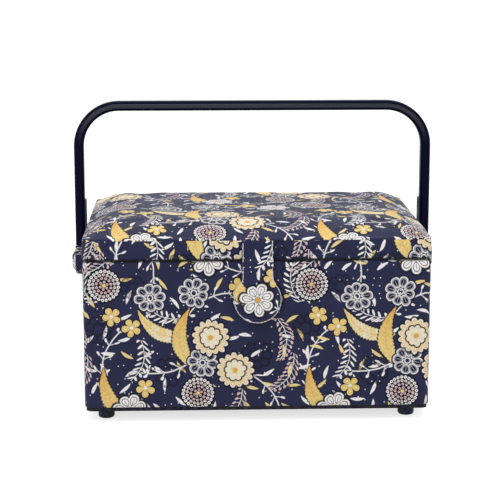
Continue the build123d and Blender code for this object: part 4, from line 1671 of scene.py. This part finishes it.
class SEWINGBOX_OT_pin_cushion(bpy.types.Operator):
    """Makes the stuffed velvet pin cushion inside the lid"""

    bl_idname = "sewingbox.pin_cushion"
    bl_label = "Pin cushion"

    def execute(self, context):
        padding = settings().padding
        low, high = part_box("pin_cushion")
        cushion = start_from_node("pin_cushion_velvet", "pin_cushion")
        middle = (low + high) / 2
        for point in cushion.data.vertices:
            point.co.x = middle.x + (point.co.x - middle.x) * 0.975
            point.co.y = middle.y + (point.co.y - middle.y) * 0.955
            point.co.z = high.z + (point.co.z - high.z) * 0.86
        make_even(cushion, padding.cushion_mesh, rounds=5)
        swell(cushion, pressure=4.0, cap=padding.cushion_swell,
              is_held=lambda place: place.z > high.z - 0.0012)
        refine(cushion)
        seam_z = high.z - 0.0042
        for point in cushion.data.vertices:
            out = Vector((point.normal.x, point.normal.y, 0.0))
            if out.length > 0.25:
                point.co -= out.normalized() * 0.0007 * math.exp(-(((point.co.z - seam_z) / 0.0009) ** 2))
            point.co.z = min(point.co.z, high.z - 0.0002)
        cushion.data.update()
        ripple(cushion, depth=0.0004, pitch=0.012, seed=71.0,
               share=lambda place: smooth_step(high.z - place.z, 0.0005, 0.003))
        lay_cloth(cushion, cloth_by_side())
        soft_look(cushion, 60)
        settle(cushion, "cushion_velvet", "lid")
        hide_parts("pin_cushion")
        return {"FINISHED"}


# ---- Finishes of the pieces that come from the frame -----------------------------------------------

HARD_PIECES = {
    "fibreboard": ("back_board", "front_board", "left_board", "right_board", "floor_board", "lid_back_rail",
                   "lid_front_rail", "lid_left_rail", "lid_right_rail", "lid_top_board"),
    "base_board": ("base_panel",),
    "foot_plastic": ("front_left_foot", "front_right_foot", "back_left_foot", "back_right_foot"),
    "screw_steel": ("foot_screws",),
    "handle_plastic": ("handle_frame",),
    "plate_metal": ("right_leg_plate", "left_leg_plate"),
    "rivet_steel": ("right_pivot_pin", "left_pivot_pin", "right_pivot_washer", "left_pivot_washer"),
    "snap_nickel": ("snap_socket", "snap_stud"),
    "tray_plastic": ("upper_tray", "lower_tray"),
}
CLOTH_NODES = {
    "printed_cotton": ("body_cover", "lid_cover", "tab_root", "tab_flap", "right_handle_end_cover",
                       "left_handle_end_cover"),
    "lining_cotton": ("body_lining", "lid_lining", "lid_pocket", "right_tray_ledge", "left_tray_ledge"),
    "hinge_cloth": ("body_hinge_tape", "hinge_strip", "lid_hinge_tape"),
    "elastic": ("pocket_elastic",),
    "cushion_velvet": ("pin_cushion", "lid_foam_pad"),
}


class SEWINGBOX_OT_finishes(bpy.types.Operator):
    """Makes every finish and puts it on the pieces that come from the frame"""

    bl_idname = "sewingbox.finishes"
    bl_label = "Finishes"

    def execute(self, context):
        cloth, hardware = settings().cloth, settings().hardware
        for make in (make_placing_group, make_petal_group, make_leaf_group, make_sprig_group,
                     make_floret_group, make_scatter_group, make_print_group, make_weave_group,
                     make_wear_group, make_handling_group):
            make()
        make_printed_cotton()
        for name, colour, spacing, slub, sheen, vary in (
            ("lining_cotton", cloth.lining, 0.00055, 0.5, 0.15, 0.04),
            ("hinge_cloth", cloth.bookcloth, 0.0007, 0.7, 0.2, 0.1),
            ("elastic", cloth.elastic, 0.0009, 0.2, 0.2, 0.04),
        ):
            make_plain_cloth(name, tuple(colour), spacing, slub, sheen, vary)
        make_velvet()
        make_thread("white_thread", cloth.petal)
        make_thread("cream_thread", cloth.lining)
        make_thread("navy_thread", screen(84, 88, 120))
        bar_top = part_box("handle_frame")[1][2]
        make_moulded("handle_plastic", hardware.handle, smooth=0.2, rough=0.3, worn=screen(30, 33, 62),
                     shine=0.03, grip=(bar_top - 0.042, bar_top - 0.012))
        make_moulded("foot_plastic", hardware.foot, smooth=0.35, rough=0.5, worn=screen(70, 72, 92),
                     shine=0.12)
        make_moulded("tray_plastic", hardware.tray, smooth=0.34, rough=0.5, worn=screen(250, 248, 242),
                     distance=0.00003, glow=0.12)
        for name, colour, smooth, rough, dull, plated in (
            ("plate_metal", hardware.plate, 0.35, 0.5, screen(12, 12, 26), 0.0),
            ("rivet_steel", hardware.steel, 0.22, 0.42, screen(120, 118, 116), 1.0),
            ("screw_steel", hardware.steel, 0.3, 0.5, screen(140, 132, 110), 1.0),
            ("snap_nickel", hardware.nickel, 0.12, 0.3, screen(150, 142, 126), 1.0),
        ):
            make_metal(name, colour, smooth, rough, dull, plated)
        make_board("fibreboard", hardware.board, fibre_scale=260.0, dark=screen(150, 126, 98))
        make_board("base_board", hardware.base, fibre_scale=420.0, dark=screen(16, 16, 24))
        for pieces in (HARD_PIECES, CLOTH_NODES):
            for name, nodes in pieces.items():
                for node in nodes:
                    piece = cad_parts[node]
                    if not piece.material_slots:
                        piece.data.materials.append(finish(name))
                    for place in piece.material_slots:
                        place.material = finish(name)
        return {"FINISHED"}


# ---- Studio ----------------------------------------------------------------------------------------

def soft_lamp(name, place, target, size, power):
    clear_selection()
    bpy.ops.object.light_add(type="AREA", location=place)
    lamp = named(name)
    lamp.data.shape = "RECTANGLE"
    lamp.data.size, lamp.data.size_y = size
    lamp.data.energy = power
    lamp.rotation_mode = "QUATERNION"
    lamp.rotation_quaternion = (Vector(target) - Vector(place)).to_track_quat("-Z", "Y")


class SEWINGBOX_OT_studio(bpy.types.Operator):
    """Sets up the pale floor, the soft lamps and the camera"""

    bl_idname = "sewingbox.studio"
    bl_label = "Studio"

    def execute(self, context):
        studio = settings().studio
        scene = context.scene
        scene.view_settings.view_transform = "Standard"
        self.make_floor()
        self.make_surround(scene, studio.surround)
        for name, place, target, size, power in (
            ("front_lamp", (-0.7, -2.3, 1.25), (0.0, 0.0, 0.12), (2.2, 1.6), studio.key_power),
            ("top_lamp", (0.2, -0.1, 2.2), (0.0, 0.0, 0.15), (2.4, 1.8), studio.top_power),
        ):
            soft_lamp(name, place, target, size, power)
        self.make_camera(scene, studio)
        return {"FINISHED"}

    def make_floor(self):
        clear_selection()
        bpy.ops.mesh.primitive_plane_add(size=80.0, location=(0.0, 0.0, 0.0))
        floor = named("studio_floor")
        tree, shader = new_finish("studio_white", Specular_IOR_Level=0.0)
        place = solid_place(tree)
        even = grain(tree, place, 3.0, 2.0)[0]
        feed(tree, shader.inputs["Base Color"], mixed(tree, even, (0.52, 0.52, 0.52), (0.54, 0.54, 0.54)))
        feed(tree, shader.inputs["Roughness"], ranged(tree, even, 0.3, 0.7, 0.85, 0.95))
        rays = tree.nodes.new("ShaderNodeLightPath").outputs
        seen = sums(tree, "MAXIMUM", rays["Is Camera Ray"], rays["Is Glossy Ray"])
        feed(tree, shader.inputs["Emission Color"], (1.0, 1.0, 1.0))
        feed(tree, shader.inputs["Emission Strength"], times(tree, seen, 0.7))
        floor.data.materials.append(finish("studio_white"))

    def make_surround(self, scene, level):
        world = bpy.data.worlds.new("studio_surround")
        scene.world = world
        world.use_nodes = True
        tree = world.node_tree
        background = tree.nodes["Background"]
        rays = tree.nodes.new("ShaderNodeLightPath").outputs
        seen = sums(tree, "MAXIMUM", rays["Is Camera Ray"], rays["Is Glossy Ray"])
        seen = sums(tree, "MAXIMUM", seen, rays["Is Transmission Ray"])
        background.inputs["Color"].default_value = (1.0, 1.0, 1.0, 1.0)
        feed(tree, background.inputs["Strength"], between(tree, seen, level, 1.0))

    def make_camera(self, scene, studio):
        clear_selection()
        bpy.ops.object.camera_add()
        camera = named("studio_camera")
        camera.data.lens = studio.camera_lens
        camera.data.sensor_width = 36.0
        camera.data.clip_start, camera.data.clip_end = 0.05, 30.0
        back = Vector((
            -math.sin(studio.camera_turn) * math.cos(studio.camera_rise),
            -math.cos(studio.camera_turn) * math.cos(studio.camera_rise),
            math.sin(studio.camera_rise),
        ))
        camera.location = Vector(studio.aim) + back * studio.camera_distance
        turn = (-back).to_track_quat("-Z", "Y").to_matrix() @ Matrix.Rotation(studio.camera_roll, 3, "Z")
        camera.rotation_mode = "QUATERNION"
        camera.rotation_quaternion = turn.to_quaternion()
        scene.camera = camera


# ---- Panel and registration ---------------------------------------------------------------------------

STEPS = (
    SEWINGBOX_OT_finishes,
    SEWINGBOX_OT_body_cloth,
    SEWINGBOX_OT_lid_cloth,
    SEWINGBOX_OT_closing_tab,
    SEWINGBOX_OT_handle_ends,
    SEWINGBOX_OT_hinge_cloth,
    SEWINGBOX_OT_linings,
    SEWINGBOX_OT_lid_pocket,
    SEWINGBOX_OT_pin_cushion,
    SEWINGBOX_OT_studio,
)


class SEWINGBOX_PT_panel(bpy.types.Panel):
    """Lists the settings and the steps that dress the sewing box"""

    bl_idname = "SEWINGBOX_PT_panel"
    bl_label = "Sewing box"
    bl_space_type = "VIEW_3D"
    bl_region_type = "UI"
    bl_category = "Sewing box"

    def draw(self, context):
        layout = self.layout
        for group in (settings().cloth, settings().padding, settings().hardware, settings().studio):
            box = layout.box()
            for name in group.__annotations__:
                box.prop(group, name)
        for step in STEPS:
            layout.operator(step.bl_idname)


CLASSES = (
    ClothSettings, PaddingSettings, HardwareSettings, StudioSettings, SewingBoxSettings, *STEPS,
    SEWINGBOX_PT_panel,
)


def register():
    for kind in CLASSES:
        bpy.utils.register_class(kind)
    bpy.types.Scene.sewing_box = bpy.props.PointerProperty(type=SewingBoxSettings)


def unregister():
    del bpy.types.Scene.sewing_box
    for kind in reversed(CLASSES):
        bpy.utils.unregister_class(kind)


def main():
    register()
    for step in STEPS:
        group, name = step.bl_idname.split(".")
        getattr(getattr(bpy.ops, group), name)()
    clear_selection()


if __name__ == "__main__":
    main()
